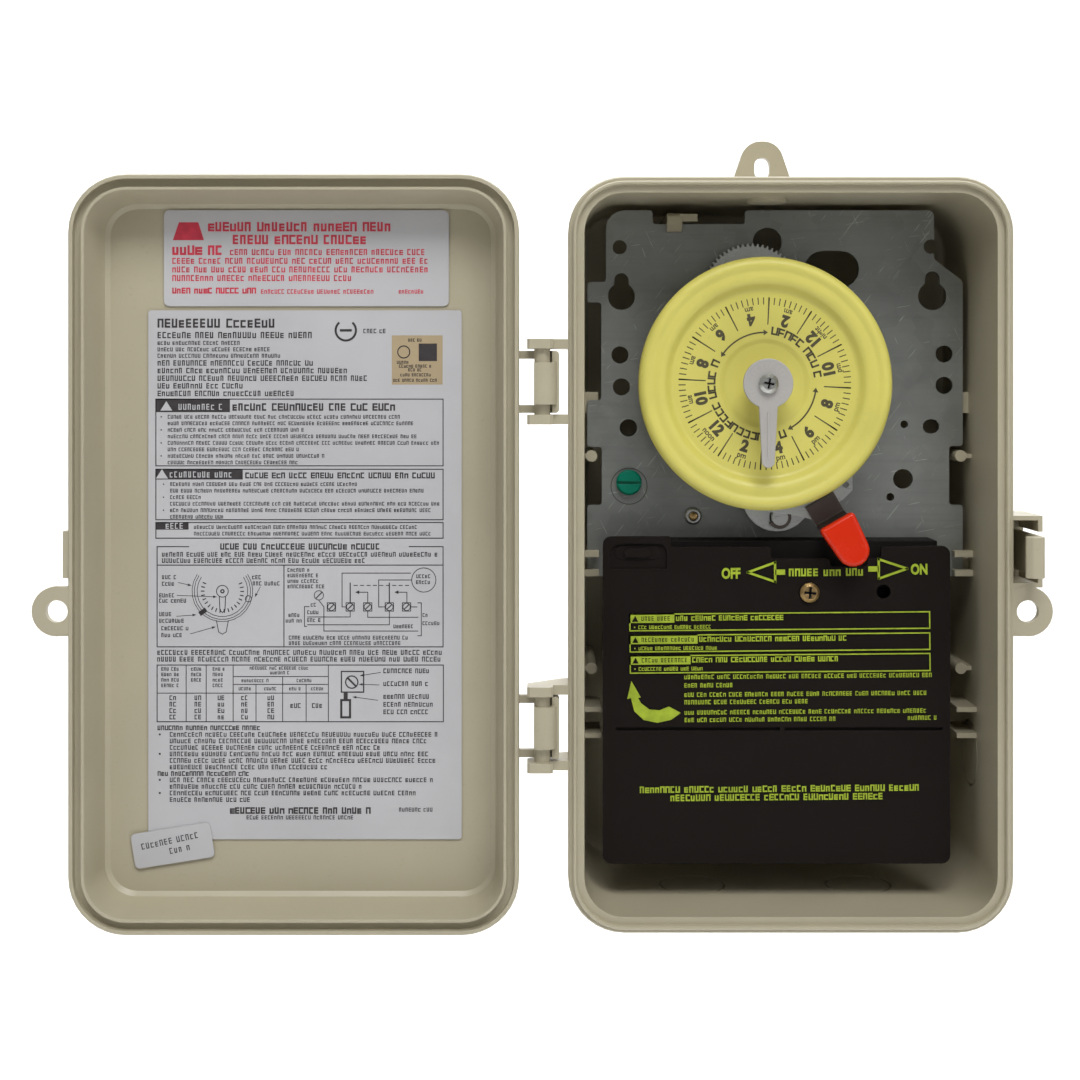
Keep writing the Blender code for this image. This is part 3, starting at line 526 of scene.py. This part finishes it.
def build_stage():
    """A pale floor that sweeps up into a backdrop well behind the object."""
    scene = bpy.context.scene
    floor_z = CAD_BOX[0][2] - 0.35
    front, back, radius, top, half = -12.0, 1.6, 0.8, 3.0, 12.0
    line = [(front, floor_z), (back - radius, floor_z)]
    for i in range(1, 13):
        angle = math.radians(90 * i / 12)
        line.append((back - radius + radius * math.sin(angle), floor_z + radius * (1 - math.cos(angle))))
    line.append((back, floor_z + top))
    bm = bmesh.new()
    left = [bm.verts.new((-half, y, z)) for y, z in line]
    right = [bm.verts.new((half, y, z)) for y, z in line]
    for i in range(len(line) - 1):
        bm.faces.new((left[i], right[i], right[i + 1], left[i + 1]))
    bmesh.ops.recalc_face_normals(bm, faces=bm.faces)
    mesh = bpy.data.meshes.new("floor")
    bm.to_mesh(mesh)
    bm.free()
    mesh.shade_smooth()
    n = Nodes("floor_paper")
    faint = n.ramp(n.noise(1.5, 2.0), 0.3, 0.7, 0.0, 1.0)
    mesh.materials.append(n.finish(n.mix(faint, (0.86, 0.86, 0.86), (0.9, 0.9, 0.9)), 0.7))
    floor = bpy.data.objects.new("floor", mesh)
    scene.collection.objects.link(floor)

    world = bpy.data.worlds.new("studio")
    world.use_nodes = True
    world.node_tree.nodes["Background"].inputs["Color"].default_value = (1, 1, 1, 1)
    world.node_tree.nodes["Background"].inputs["Strength"].default_value = 0.21
    scene.world = world
    scene.view_settings.view_transform = "Standard"

    middle = (-0.08, -0.04, 0.0)
    area_light("key", (0.1, -1.15, 1.35), middle, (1.1, 0.7), 23)
    area_light("left_fill", (-1.2, -1.1, 0.6), middle, (0.8, 1.0), 1.5)
    area_light("right_fill", (1.1, -1.2, 0.5), middle, (0.8, 1.0), 3)
    area_light("backdrop", (0.0, 0.5, 1.6), (0, 1.6, 0.6), (2.5, 1.0), 65)


def build_camera():
    data = bpy.data.cameras.new("camera")
    data.lens = 59.1
    data.sensor_width = 36.0
    data.shift_y = -0.139
    data.clip_start = 0.01
    camera = bpy.data.objects.new("camera", data)
    camera.location = (-0.0779, -0.626, 0.0512)
    camera.rotation_euler = (math.radians(90), 0, 0)
    bpy.context.scene.collection.objects.link(camera)
    bpy.context.scene.camera = camera


# ---------------------------------------------------------------- case and hardware

REFINED = {
    "enclosure_base": (0.35, 3),
    "enclosure_door": (0.3, 3),
    "latch_tongue": (0.4, 3),
    "plate_clip": (0.35, 3),
    "mechanism_plate": (0, 1),
    "plate_eyelet": (0.15, 2),
    "ground_screw": (0.25, 3),
    "motor_housing": (0.3, 2),
    "motor_coil": (1.0, 3),
    "cycle_gear": (0.06, 1),
    "dial_gear": (0.06, 1),
    "gear_stud": (0.15, 2),
    "motor_pinion": (0.06, 1),
    "center_arbor": (0.15, 2),
    "dial_sleeve": (0.15, 2),
    "lever_pivot_stud": (0.15, 2),
    "trip_lever": (0.2, 2),
    "lever_strip": (0.15, 2),
    "cam_post": (0.15, 2),
    "switch_cam": (0.2, 2),
    "switch_housing": (0.3, 2),
    "post_clip": (0.1, 2),
    "contact_carrier": (0.2, 2),
    "terminal_block": (0.3, 2),
    "terminal_guard": (0.25, 3),
    "guard_screw": (0.12, 2),
    "pointer_screw": (0.12, 2),
    "door_label_upper": (0.05, 1),
    "door_label_main": (0.05, 1),
    "door_label_small": (0.05, 1),
}
for index in (1, 2):
    REFINED[f"moving_contact_{index}"] = (0.15, 2)
    REFINED[f"fixed_contact_{index}"] = (0.15, 2)
for index in range(1, 6):
    REFINED[f"terminal_plate_{index}"] = (0.15, 2)
    REFINED[f"terminal_screw_{index}"] = (0.2, 2)


def add_cross(node, reach, width, turn):
    """Painted shade: a dark cross standing in for the shade at the bottom of a screw's driver recess."""
    middle, y = centre(node), low(node).y
    bm = bmesh.new()
    x, z = middle.x, middle.z
    for across, up in ((reach, width), (width, reach)):
        add_bar(bm, x - across, x + across, z - up, z + up, y + 0.1, y - 0.02)
    roll = Matrix.Rotation(math.radians(turn), 3, "Y")
    bmesh.ops.rotate(bm, cent=(middle.x, 0, middle.z), matrix=roll, verts=bm.verts)
    to_object(node + "_recess_painted_shade", bm, PAINTED_SHADE_BLACK, BODY_OF[node])


def add_hardware_details():
    """The eyelet's brass core, a dark ring of painted shade for the groove stamped round the ground screw,
    and painted shade in the screws' driver recesses.
    """
    eyelet, screw = centre("plate_eyelet"), centre("ground_screw")
    front = low("mechanism_plate").y
    bm = bmesh.new()
    core = [(0, front), (1.3, front), (1.3, front - 0.9), (1.0, front - 1.1), (0, front - 1.1)]
    add_turned(bm, core, eyelet.x, eyelet.z, 24)
    to_object("eyelet_core", bm, MATERIALS["brass"], BODY_OF["plate_eyelet"])
    # Painted shade: a thin dark ring, barely proud of the plate, for the shade in the stamped groove round
    # the ground screw.
    bm = bmesh.new()
    ring = [(5.8, front + 0.05), (5.8, front - 0.04), (6.15, front - 0.04), (6.15, front + 0.05)]
    add_turned(bm, ring, screw.x + 0.1, screw.z - 1.3, 48)
    to_object("stamped_ring_shade", bm, STAMPED_GROOVE_SHADE, BODY_OF["mechanism_plate"])
    # Painted shade in the driver recesses of the guard screw and the pointer screw.
    add_cross("guard_screw", 1.9, 0.35, 8)
    add_cross("pointer_screw", 1.6, 0.3, 12)


# ---------------------------------------------------------------- dial


NOON_DEGREES = 227.9
DIAL_FACE_Y = -58.97
INK_DEPTH = 0.05


def dial_point(radius, degrees):
    """A point on the dial; degrees run clockwise from the top."""
    angle = math.radians(degrees)
    axis = centre("dial")
    return axis.x + radius * math.sin(angle), axis.z + radius * math.cos(angle)


def hour_degrees(hour):
    """Where an hour of the day sits on the dial, which counts anticlockwise."""
    return NOON_DEGREES + (12 - hour) * 15.0


def tick(bm, degrees, inner, outer, width, y):
    """A radial stroke on the dial's print face."""
    side = math.degrees(width / 2 / ((inner + outer) / 2))
    ends = [(inner, -side), (inner, side), (outer, side), (outer, -side)]
    add_prism(bm, [dial_point(radius, degrees + turn) for radius, turn in ends], y, y - INK_DEPTH)


def dial_letter(bm, degrees, style, y):
    """One stand-in letter in the dial's inner ring: radial posts and the links between them."""
    low_r, high_r, pen, wide = 15.8, 18.4, 0.6, 5.4
    tick(bm, degrees, low_r, high_r, pen, y)
    if style < 2:
        tick(bm, degrees + wide, low_r, high_r, pen, y)
    for at in ((high_r,), (low_r + pen,), (low_r + pen, high_r), (high_r, 17.2))[style]:
        tick(bm, degrees + wide / 2, at - pen, at, math.radians(wide) * at, y)


def curved_arrow(bm, radius, start, end, width, y):
    """An arc with a head at each end."""
    head = 5.0
    steps = 16
    outer, inner = [], []
    for i in range(steps + 1):
        at = start + head + (end - start - 2 * head) * i / steps
        outer.append(dial_point(radius + width / 2, at))
        inner.append(dial_point(radius - width / 2, at))
    first = [dial_point(radius - width * 1.9, start + head), dial_point(radius, start)]
    first.append(dial_point(radius + width * 1.9, start + head))
    last = [dial_point(radius + width * 1.9, end - head), dial_point(radius, end)]
    last.append(dial_point(radius - width * 1.9, end - head))
    add_prism(bm, first + outer + last + inner[::-1], y, y - INK_DEPTH)


def build_dial():
    axis = centre("dial")
    y = low("dial").y
    rim_r = high("dial").x - axis.x
    profile = [
        (4.5, -47.0),
        (8.0, -47.0),
        (8.0, -56.6),
        (29.6, -57.2),
        (34.4, -60.2),
        (38.2, -60.2),
        (39.0, -56.7),
        (rim_r - 0.9, -56.6),
        (rim_r - 0.1, -56.8),
        (rim_r, -60.4),
        (rim_r - 0.3, -61.2),
        (rim_r - 1.0, -61.9),
        (rim_r - 1.9, y + 0.05),
        (rim_r - 2.6, y),
        (rim_r - 3.3, y + 0.15),
        (rim_r - 4.0, y + 0.45),
        (rim_r - 4.5, y + 0.62),
        (rim_r - 5.0, y + 0.6),
        (34.6, y + 0.48),
        (34.0, y + 0.45),
        (33.1, y + 0.6),
        (32.2, y + 1.0),
        (31.4, y + 1.7),
        (30.6, -59.6),
        (29.9, -59.15),
        (29.2, -59.0),
        (14.8, -59.0),
        (13.9, -58.75),
        (13.1, -58.3),
        (12.4, -58.2),
        (4.5, -58.2),
    ]
    bm = bmesh.new()
    add_turned(bm, profile, axis.x, axis.z, 160)
    body = BODY_OF["dial"]
    to_object("dial_fine", bm, MATERIALS["dial_yellow"], body, ("dial",), 30)

    bm = bmesh.new()
    face = DIAL_FACE_Y
    for quarter in range(96):
        tick(bm, quarter * 3.75 + NOON_DEGREES, 25.3, 27.6, 0.33, face)
    for hour in range(1, 24, 2):
        tick(bm, hour_degrees(hour), 18.9, 27.6, 0.42, face)
    for hour in range(0, 24, 2):
        degrees = hour_degrees(hour)
        shown = hour % 12 or 12
        x, z = dial_point(21.1, degrees)
        text_mesh(bm, str(shown), x, z, 3.6, face, INK_DEPTH, degrees + 180, 0.95, 0.08)
        word = {0: "night", 12: "noon"}.get(hour, "am" if hour < 12 else "pm")
        x, z = dial_point(24.1, degrees)
        text_mesh(bm, word, x, z, 1.9, face, INK_DEPTH, degrees + 180, 0.9, 0.03)
    curved_arrow(bm, 16.4, -58.6, 3.6, 0.5, face)
    curved_arrow(bm, 16.4, 94.5, 153.3, 0.5, face)
    rng = random.Random(4)
    for start, end in ((8.0, 90.0), (158.0, 296.0)):
        at = start
        while at < end - 5:
            dial_letter(bm, at, rng.randint(0, 3), face)
            at += 7.6 if rng.random() < 0.8 else 12.0
    to_object("dial_print", bm, INK_DIAL, body, (), 30)


def build_pointer():
    axis = centre("dial")
    y0, y1 = high("pointer").y, low("pointer").y
    tip = low("pointer").z
    bm = bmesh.new()
    outline = arc(axis.x, axis.z, 7.9, -68, 248, 64)
    outline += [(axis.x - 2.6, axis.z - 14.0), (axis.x - 2.0, tip + 1.4), (axis.x - 1.1, tip + 0.4)]
    outline.append((axis.x, tip))
    outline += [(axis.x + 1.1, tip + 0.4), (axis.x + 2.0, tip + 1.4), (axis.x + 2.6, axis.z - 14.0)]
    add_prism(bm, outline, y0, y1)
    grey, body = MATERIALS["pointer_grey"], BODY_OF["pointer"]
    obj = to_object("pointer_fine", bm, grey, body, ("pointer",))
    soften(obj, 0.3, 3)
    rib = bmesh.new()
    add_bar(rib, axis.x - 0.35, axis.x + 0.35, tip + 3.0, axis.z - 9.0, y1 + 0.1, y1 - 0.25)
    rib_obj = to_object("pointer_rib", rib, grey, body)
    soften(rib_obj, 0.15, 2)
    marks = bmesh.new()
    for degrees in (-70, -56, -42, -20, -6, 8, 30, 44, 58, 104, 118, 132, 230, 244):
        tick(marks, degrees, 4.9, 6.7, 0.4, y1 + 0.02)
        tick(marks, degrees + 5, 6.3, 6.7, 1.0, y1 + 0.02)
    to_object("pointer_marks", marks, grey, body)


def build_lever_tip():
    """A dipped vinyl cap: full, round-shouldered, with its mouth rolled."""
    bm = merged("lever_tip", 0.8)
    vinyl, body = MATERIALS["red_vinyl"], BODY_OF["lever_tip"]
    soften(to_object("lever_tip_fine", bm, vinyl, body, ("lever_tip",), 50), 1.3, 5, 50)


# ---------------------------------------------------------------- print on the guard


def print_guard():
    """Lime print: which way the lever goes, three boxed notices, the fitting notes and a swing arrow."""
    p = Print("terminal_guard", 7)
    p.letters("OFF", 41.5, 11.9, 3.3, 0.75)
    p.letters("ON", 102.0, 11.1, 3.3, 0.75)
    for stem, base, tip, v in ((58.9, 55.7, 46.9, 11.45), (85.6, 89.0, 98.1, 10.7)):
        p.bar(min(stem, base), max(stem, base), v - 0.85, v + 0.85)
        corners = [(base, v - 3.1), (base, v + 3.1), (tip, v)]
        p.path(corners + corners[:1], 0.75)
    p.words(60.1, 84.4, 11.6, 2.5, 0.7)
    notices = ((24.4, 30.1, 23.2, 57.8, 35.6), (31.2, 36.9, 30.6, 78.1, 37.4), (37.8, 43.7, 28.3, 75.5, 33.2))
    for v0, v1, tab, heading, note in notices:
        p.frame(8.7, 105.4, v0, v1, 0.4)
        p.bar(8.7, tab, v0, v0 + 3.0)
        p.words(tab + 0.5, heading, v0 + 1.6, 1.7, 0.72)
        p.bar(10.2, 10.6, v0 + 4.2, v0 + 4.6)
        p.words(11.6, note, v0 + 4.4, 1.2, 0.66)
    for v, end in ((44.9, 106.0), (47.6, 42.1), (50.6, 104.1), (53.0, 65.9), (56.3, 105.4), (58.7, 74.9)):
        p.words(26.2, end, v, 1.4)
    p.words(97.9, 107.4, 58.6, 1.4)
    sweep = [(9.2, 46.0), (12.2, 51.3), (11.3, 51.5), (12.3, 53.2), (14.9, 55.2), (18.2, 55.5), (21.2, 54.3)]
    sweep += [(25.0, 56.4), (21.9, 58.6), (17.5, 59.5), (13.1, 58.6), (10.1, 55.8), (9.0, 51.5), (7.8, 51.8)]
    p.shape(sweep)
    p.words(11.6, 101.8, 81.0, 2.1, 0.7)
    p.words(21.4, 91.8, 83.7, 2.1, 0.7)
    p.finish("guard_print", INK_LIME, -0.5)

    p = Print("terminal_guard", 8, 0.05)
    for v0, _, tab, _, _ in notices:
        p.shape([(9.6, v0 + 2.6), (10.6, v0 + 0.7), (11.6, v0 + 2.6)])
        p.words(12.6, tab - 0.9, v0 + 1.6, 1.4, 0.5)
    p.finish("guard_tab_print", MATERIALS["black_plastic"], -0.5)


# ---------------------------------------------------------------- print on the door's labels


def print_upper_label():
    """Red print: a plain mark, two heading lines, a notice and a footer."""
    p = Print("door_label_upper", 11)
    p.shape([(2.9, 9.6), (4.8, 3.9), (11.0, 3.9), (12.8, 9.6)])
    p.words(14.1, 73.6, 5.3, 3.0, 0.7)
    p.words(22.0, 65.8, 9.4, 3.0, 0.7)
    p.words(2.7, 19.4, 12.8, 3.1, 0.76)
    p.words(21.1, 85.0, 13.4, 1.9)
    p.lines(2.7, (85.0, 85.0, 60.8), 16.2, 2.75, 1.9)
    p.words(2.7, 29.3, 25.7, 1.9, 0.76)
    p.words(31.0, 66.8, 26.0, 1.4)
    p.words(75.0, 84.4, 26.0, 1.3)
    p.finish("upper_label_print", INK_RED)


def draw_ratings(p):
    """The heading block with the ratings, and a round mark beside it."""
    p.words(3.0, 40.8, 4.1, 2.9, 0.66)
    p.words(3.0, 54.5, 7.9, 2.0)
    p.lines(3.0, (29.7, 39.6, 42.8), 10.4, 2.05, 1.3)
    p.lines(3.0, (52.9, 63.4, 70.8, 31.0, 47.8), 16.8, 2.43, 1.75)
    p.ring(63.1, 6.4, 3.6, 0.7, 40, 320)
    p.bar(61.2, 65.0, 6.0, 6.8)
    p.words(68.7, 76.0, 6.6, 1.4)


def draw_notices(p):
    """Three boxed notices, each with a black tab and a bold heading."""
    notices = (
        (28.2, 49.8, 4.3, 26.1, 79.9, 6.25, (81.1, 84.6, 49.9, 85.8, 93.3, 48.6, 56.2, 48.0)),
        (50.6, 67.0, 3.4, 30.2, 91.3, 7.0, (67.4, 88.0, 16.7, 93.3, 90.5, 24.4)),
    )
    for v0, v1, deep, tab, heading, left, ends in notices:
        p.frame(2.3, 94.3, v0, v1)
        p.bar(2.3, tab, v0, v0 + deep)
        p.words(tab + 0.8, heading, v0 + deep * 0.62, deep * 0.56, 0.7)
        p.lines(left, ends, v0 + deep + 1.5, 2.08, 1.2)
        for i in range(0, len(ends), 2):
            dot = v0 + deep + 1.5 + 2.08 * i
            p.bar(left - 2.3, left - 1.9, dot - 0.2, dot + 0.2)
    p.frame(2.3, 94.3, 67.6, 72.9)
    p.bar(2.3, 12.9, 67.6, 70.0)
    p.lines(14.6, (86.0, 90.7), 69.2, 2.1, 1.2)


def draw_dial_diagram(p):
    """The timer's dial with its pointer, trippers and lever, and their names."""
    u, v = 23.7, 89.7
    for radius in (9.8, 9.1, 8.2):
        p.ring(u, v, radius, 0.2, 56, 304)
    for hour in range(-4, 16):
        p.ring(u, v, 6.9, 1.2, 180 + hour * 12 - 67, 180 + hour * 12 - 64)
    p.ring(u, v, 2.0, 0.25)
    p.ring(u, v, 0.7, 0.4)
    p.path([(u - 1.0, v + 1.8), (u - 0.8, v + 6.0), (u, v + 6.8), (u + 0.8, v + 6.0), (u + 1.0, v + 1.8)])
    p.path([(u - 1.9, v + 9.4), (u - 1.2, v + 13.0), (u, v + 13.7), (u + 1.2, v + 13.0), (u + 1.9, v + 9.4)])
    p.shape([(16.0, 96.4), (18.1, 94.9), (18.9, 96.1), (16.8, 97.6)])
    p.ring(32.0, 92.1, 1.1, 0.25)
    names = ((4.4, 9.4, 85.2), (4.4, 8.9, 87.3), (3.5, 8.3, 91.0), (3.5, 12.6, 92.7), (3.5, 7.2, 97.0))
    names += ((3.5, 12.3, 99.1), (4.2, 12.9, 101.5), (4.2, 10.8, 103.7), (33.2, 36.2, 85.2))
    names += ((33.4, 42.1, 87.2),)
    for start, end, at in names:
        p.words(start, end, at, 1.3)
    p.arrow((9.6, 86.9), (13.9, 87.9))
    p.arrow((9.2, 91.0), (22.0, 91.5))
    p.arrow((9.1, 97.7), (15.4, 97.2))
    p.arrow((13.5, 103.3), (21.6, 101.0))
    p.arrow((35.8, 88.3), (34.0, 91.6))


def draw_wiring_diagram(p):
    """Five screw terminals, the motor, the switch poles and their leads."""
    p.lines(44.5, (52.2, 54.4, 55.5, 56.3), 82.9, 1.75, 1.2)
    p.ring(88.0, 86.1, 4.0, 0.25)
    p.words(85.6, 90.5, 84.9, 1.2)
    p.words(85.5, 90.7, 86.8, 1.2)
    row = 94.7
    p.ring(54.5, 91.0, 1.6, 0.25)
    p.path([(53.6, 91.9), (55.4, 90.1)], 0.35)
    for u in (58.5, 64.5, 70.1, 77.0, 82.5):
        p.frame(u - 1.45, u + 1.45, row - 1.45, row + 1.45, 0.25)
        p.ring(u, row, 1.3, 0.25)
        p.path([(u - 0.8, row + 0.8), (u + 0.8, row - 0.8)], 0.35)
    p.path([(83.8, 83.9), (61.9, 83.9), (61.9, row), (63.0, row)])
    p.path([(83.9, 86.1), (73.6, 86.1), (73.6, row), (75.5, row)])
    for u in (64.5, 77.0):
        p.path([(u, 87.1), (u, row - 1.5)], 0.35)
        p.path([(u + 5.6, row - 1.5), (u + 5.6, 90.0), (u + 2.6, 90.0)])
        p.shape([(u + 1.6, 90.0), (u + 2.9, 89.4), (u + 2.9, 90.6)])
    for i in range(9):
        p.bar(65.6 + 2.05 * i, 66.9 + 2.05 * i, 87.7, 87.95)
    p.path([(64.5, 96.2), (64.5, 97.9), (50.9, 97.9)])
    p.path([(77.0, 96.2), (77.0, 100.4), (50.9, 100.4)])
    p.path([(70.1, 96.2), (70.1, 98.0), (86.1, 98.0)])
    p.path([(54.5, 92.6), (56.1, 94.7), (56.1, 102.4), (86.1, 102.4)])
    p.path([(51.4, 94.6), (49.9, 94.6), (49.9, 100.9), (50.6, 100.9)])
    p.path([(84.0, row), (85.8, row)])
    p.path([(86.1, 93.4), (87.2, 93.4), (87.2, 103.9), (86.1, 103.9)])
    names = ((51.9, 54.0, 94.0), (50.8, 55.1, 96.4), (50.8, 55.1, 98.9), (44.8, 48.5, 97.3))
    names += ((43.9, 49.3, 99.1),)
    names += ((87.6, 89.2, 97.3), (87.6, 93.0, 99.9), (78.3, 84.7, 100.9))
    for start, end, at in names:
        p.words(start, end, at, 1.2)
    p.lines(44.9, (82.9, 81.9), 104.5, 1.75, 1.25)


def draw_table(p):
    """The wire sizes, and a sketch of a wire under a terminal screw."""
    p.frame(2.7, 94.4, 113.1, 131.5)
    for u in (12.0, 18.4, 27.0, 57.4):
        p.bar(u, u + 0.25, 113.1, 131.5)
    for u, v0 in ((42.8, 116.8), (34.3, 119.3), (50.3, 119.3)):
        p.bar(u, u + 0.25, v0, 131.5)
    for u0, v in ((27.0, 116.8), (27.0, 119.3), (2.7, 122.1)):
        p.bar(u0, 57.4, v, v + 0.25)
    for u0, u1, rows in ((4.2, 10.4, 4), (13.7, 17.2, 3), (20.6, 24.5, 4)):
        for i in range(rows):
            p.words(u0, u1, 114.5 + 1.75 * i, 1.1)
    heads = ((32.4, 51.9, 114.2), (38.9, 45.4, 115.7), (29.8, 38.9, 118.2), (47.4, 52.7, 118.2))
    heads += ((28.9, 32.8, 120.8), (37.0, 41.0, 120.8), (45.0, 49.0, 120.8), (52.0, 55.9, 120.8))
    for start, end, at in heads:
        p.words(start, end, at, 1.05)
    for middle in (7.8, 15.8, 23.2, 30.7, 39.1):
        for i in range(4):
            p.words(middle - 1.0, middle + 1.0, 123.7 + 2.05 * i, 1.5)
    for middle in (47.0, 53.9):
        p.words(middle - 1.6, middle + 1.6, 126.2, 1.5)
    p.frame(61.5, 69.0, 115.1, 122.1, 0.4)
    p.ring(65.0, 118.7, 2.15, 0.4)
    p.path([(63.7, 117.4), (66.3, 120.0)], 0.6)
    p.frame(61.3, 64.8, 124.1, 130.3, 0.7)
    p.bar(62.4, 63.7, 122.1, 124.1)
    arrows = (((74.2, 115.6), (67.5, 116.7)), ((73.7, 119.6), (67.2, 119.4)), ((73.3, 124.5), (65.2, 123.4)))
    for start, end in arrows:
        p.arrow(start, end)
    for v, end in ((115.1, 89.7), (119.2, 90.3), (123.3, 89.8), (125.8, 92.3), (128.2, 89.7)):
        p.words(75.1, end, v, 1.5)


def print_main_label():
    """Black print: ratings, notices, two diagrams, a table, notes and a footer."""
    p = Print("door_label_main", 23)
    draw_ratings(p)
    draw_notices(p)
    p.words(23.0, 73.6, 75.4, 2.0, 0.7)
    for u0, u1 in ((2.7, 13.1), (83.2, 94.3)):
        p.bar(u0, u1, 75.3, 75.6)
    for u in (2.7, 94.0):
        p.bar(u, u + 0.3, 75.6, 107.6)
    p.lines(4.4, (92.3, 69.3), 77.9, 2.0, 1.5)
    for v in (81.2, 107.3):
        p.bar(3.0, 94.0, v, v + 0.3)
    p.bar(43.2, 43.5, 81.5, 107.3)
    draw_dial_diagram(p)
    draw_wiring_diagram(p)
    p.lines(2.9, (93.9, 93.9), 109.2, 2.15, 1.6)
    draw_table(p)
    p.words(3.0, 36.3, 133.3, 1.5, 0.7)
    p.lines(6.9, (92.3, 89.6, 74.4, 89.8, 92.6, 57.6), 135.4, 2.08, 1.5)
    p.words(3.0, 32.0, 147.9, 1.5, 0.7)
    p.lines(6.9, (91.5, 68.5, 85.3, 32.5), 149.9, 2.1, 1.5)
    for v in (135.4, 141.6, 149.9, 154.1):
        p.bar(3.4, 4.0, v - 0.3, v + 0.3)
    p.words(26.1, 70.8, 159.7, 2.1, 0.76)
    p.words(31.4, 65.6, 161.9, 1.3)
    p.words(80.1, 91.0, 159.4, 1.3)
    p.finish("main_label_print", INK_BLACK)

    p = Print("door_label_main", 24, 0.05)
    for u0, u1, v in ((9.7, 24.2, 30.8), (6.9, 28.4, 52.4), (5.6, 12.0, 68.8)):
        p.words(u0, u1, v, 1.9, 0.5)
    for u, v in ((5.8, 30.6), (4.4, 52.3)):
        p.shape([(u - 1.9, v + 1.4), (u, v - 1.6), (u + 1.9, v + 1.4)])
    p.finish("main_label_tab_print", MATERIALS["label_stock"])


def print_stickers():
    """A tan holographic square on the main label, and the corner sticker's two lines."""
    p = Print("door_label_main", 31)
    p.bar(77.8, 94.0, 8.0, 23.7)
    p.finish("tan_sticker", TAN_PAPER)
    p = Print("door_label_main", 32, 0.05)
    p.bar(86.4, 92.2, 10.6, 16.2)
    p.ring(81.6, 13.3, 2.1, 0.35)
    lines = ((83.0, 87.3, 9.5), (79.4, 83.6, 16.6), (80.1, 90.5, 17.8), (83.0, 87.7, 19.0))
    lines += ((80.5, 90.3, 20.6), (78.2, 92.3, 22.3))
    for u0, u1, v in lines:
        p.words(u0, u1, v, 1.0)
    p.finish("tan_sticker_print", INK_BLACK)
    p = Print("door_label_small", 33)
    p.words(3.5, 23.0, 5.6, 1.9, 0.5)
    p.words(12.0, 19.0, 8.8, 1.9, 0.5)
    p.finish("corner_sticker_print", INK_BLACK, -12)


def main():
    build_stage()
    build_camera()
    for node, (width, segments) in REFINED.items():
        # The switch housing takes the painted-shade copy of the black moulding.
        refined(node, width, segments, PAINTED_SHADE_BLACK if node == "switch_housing" else None)
    add_hardware_details()
    build_dial()
    build_pointer()
    build_lever_tip()
    print_guard()
    print_upper_label()
    print_main_label()
    print_stickers()


main()
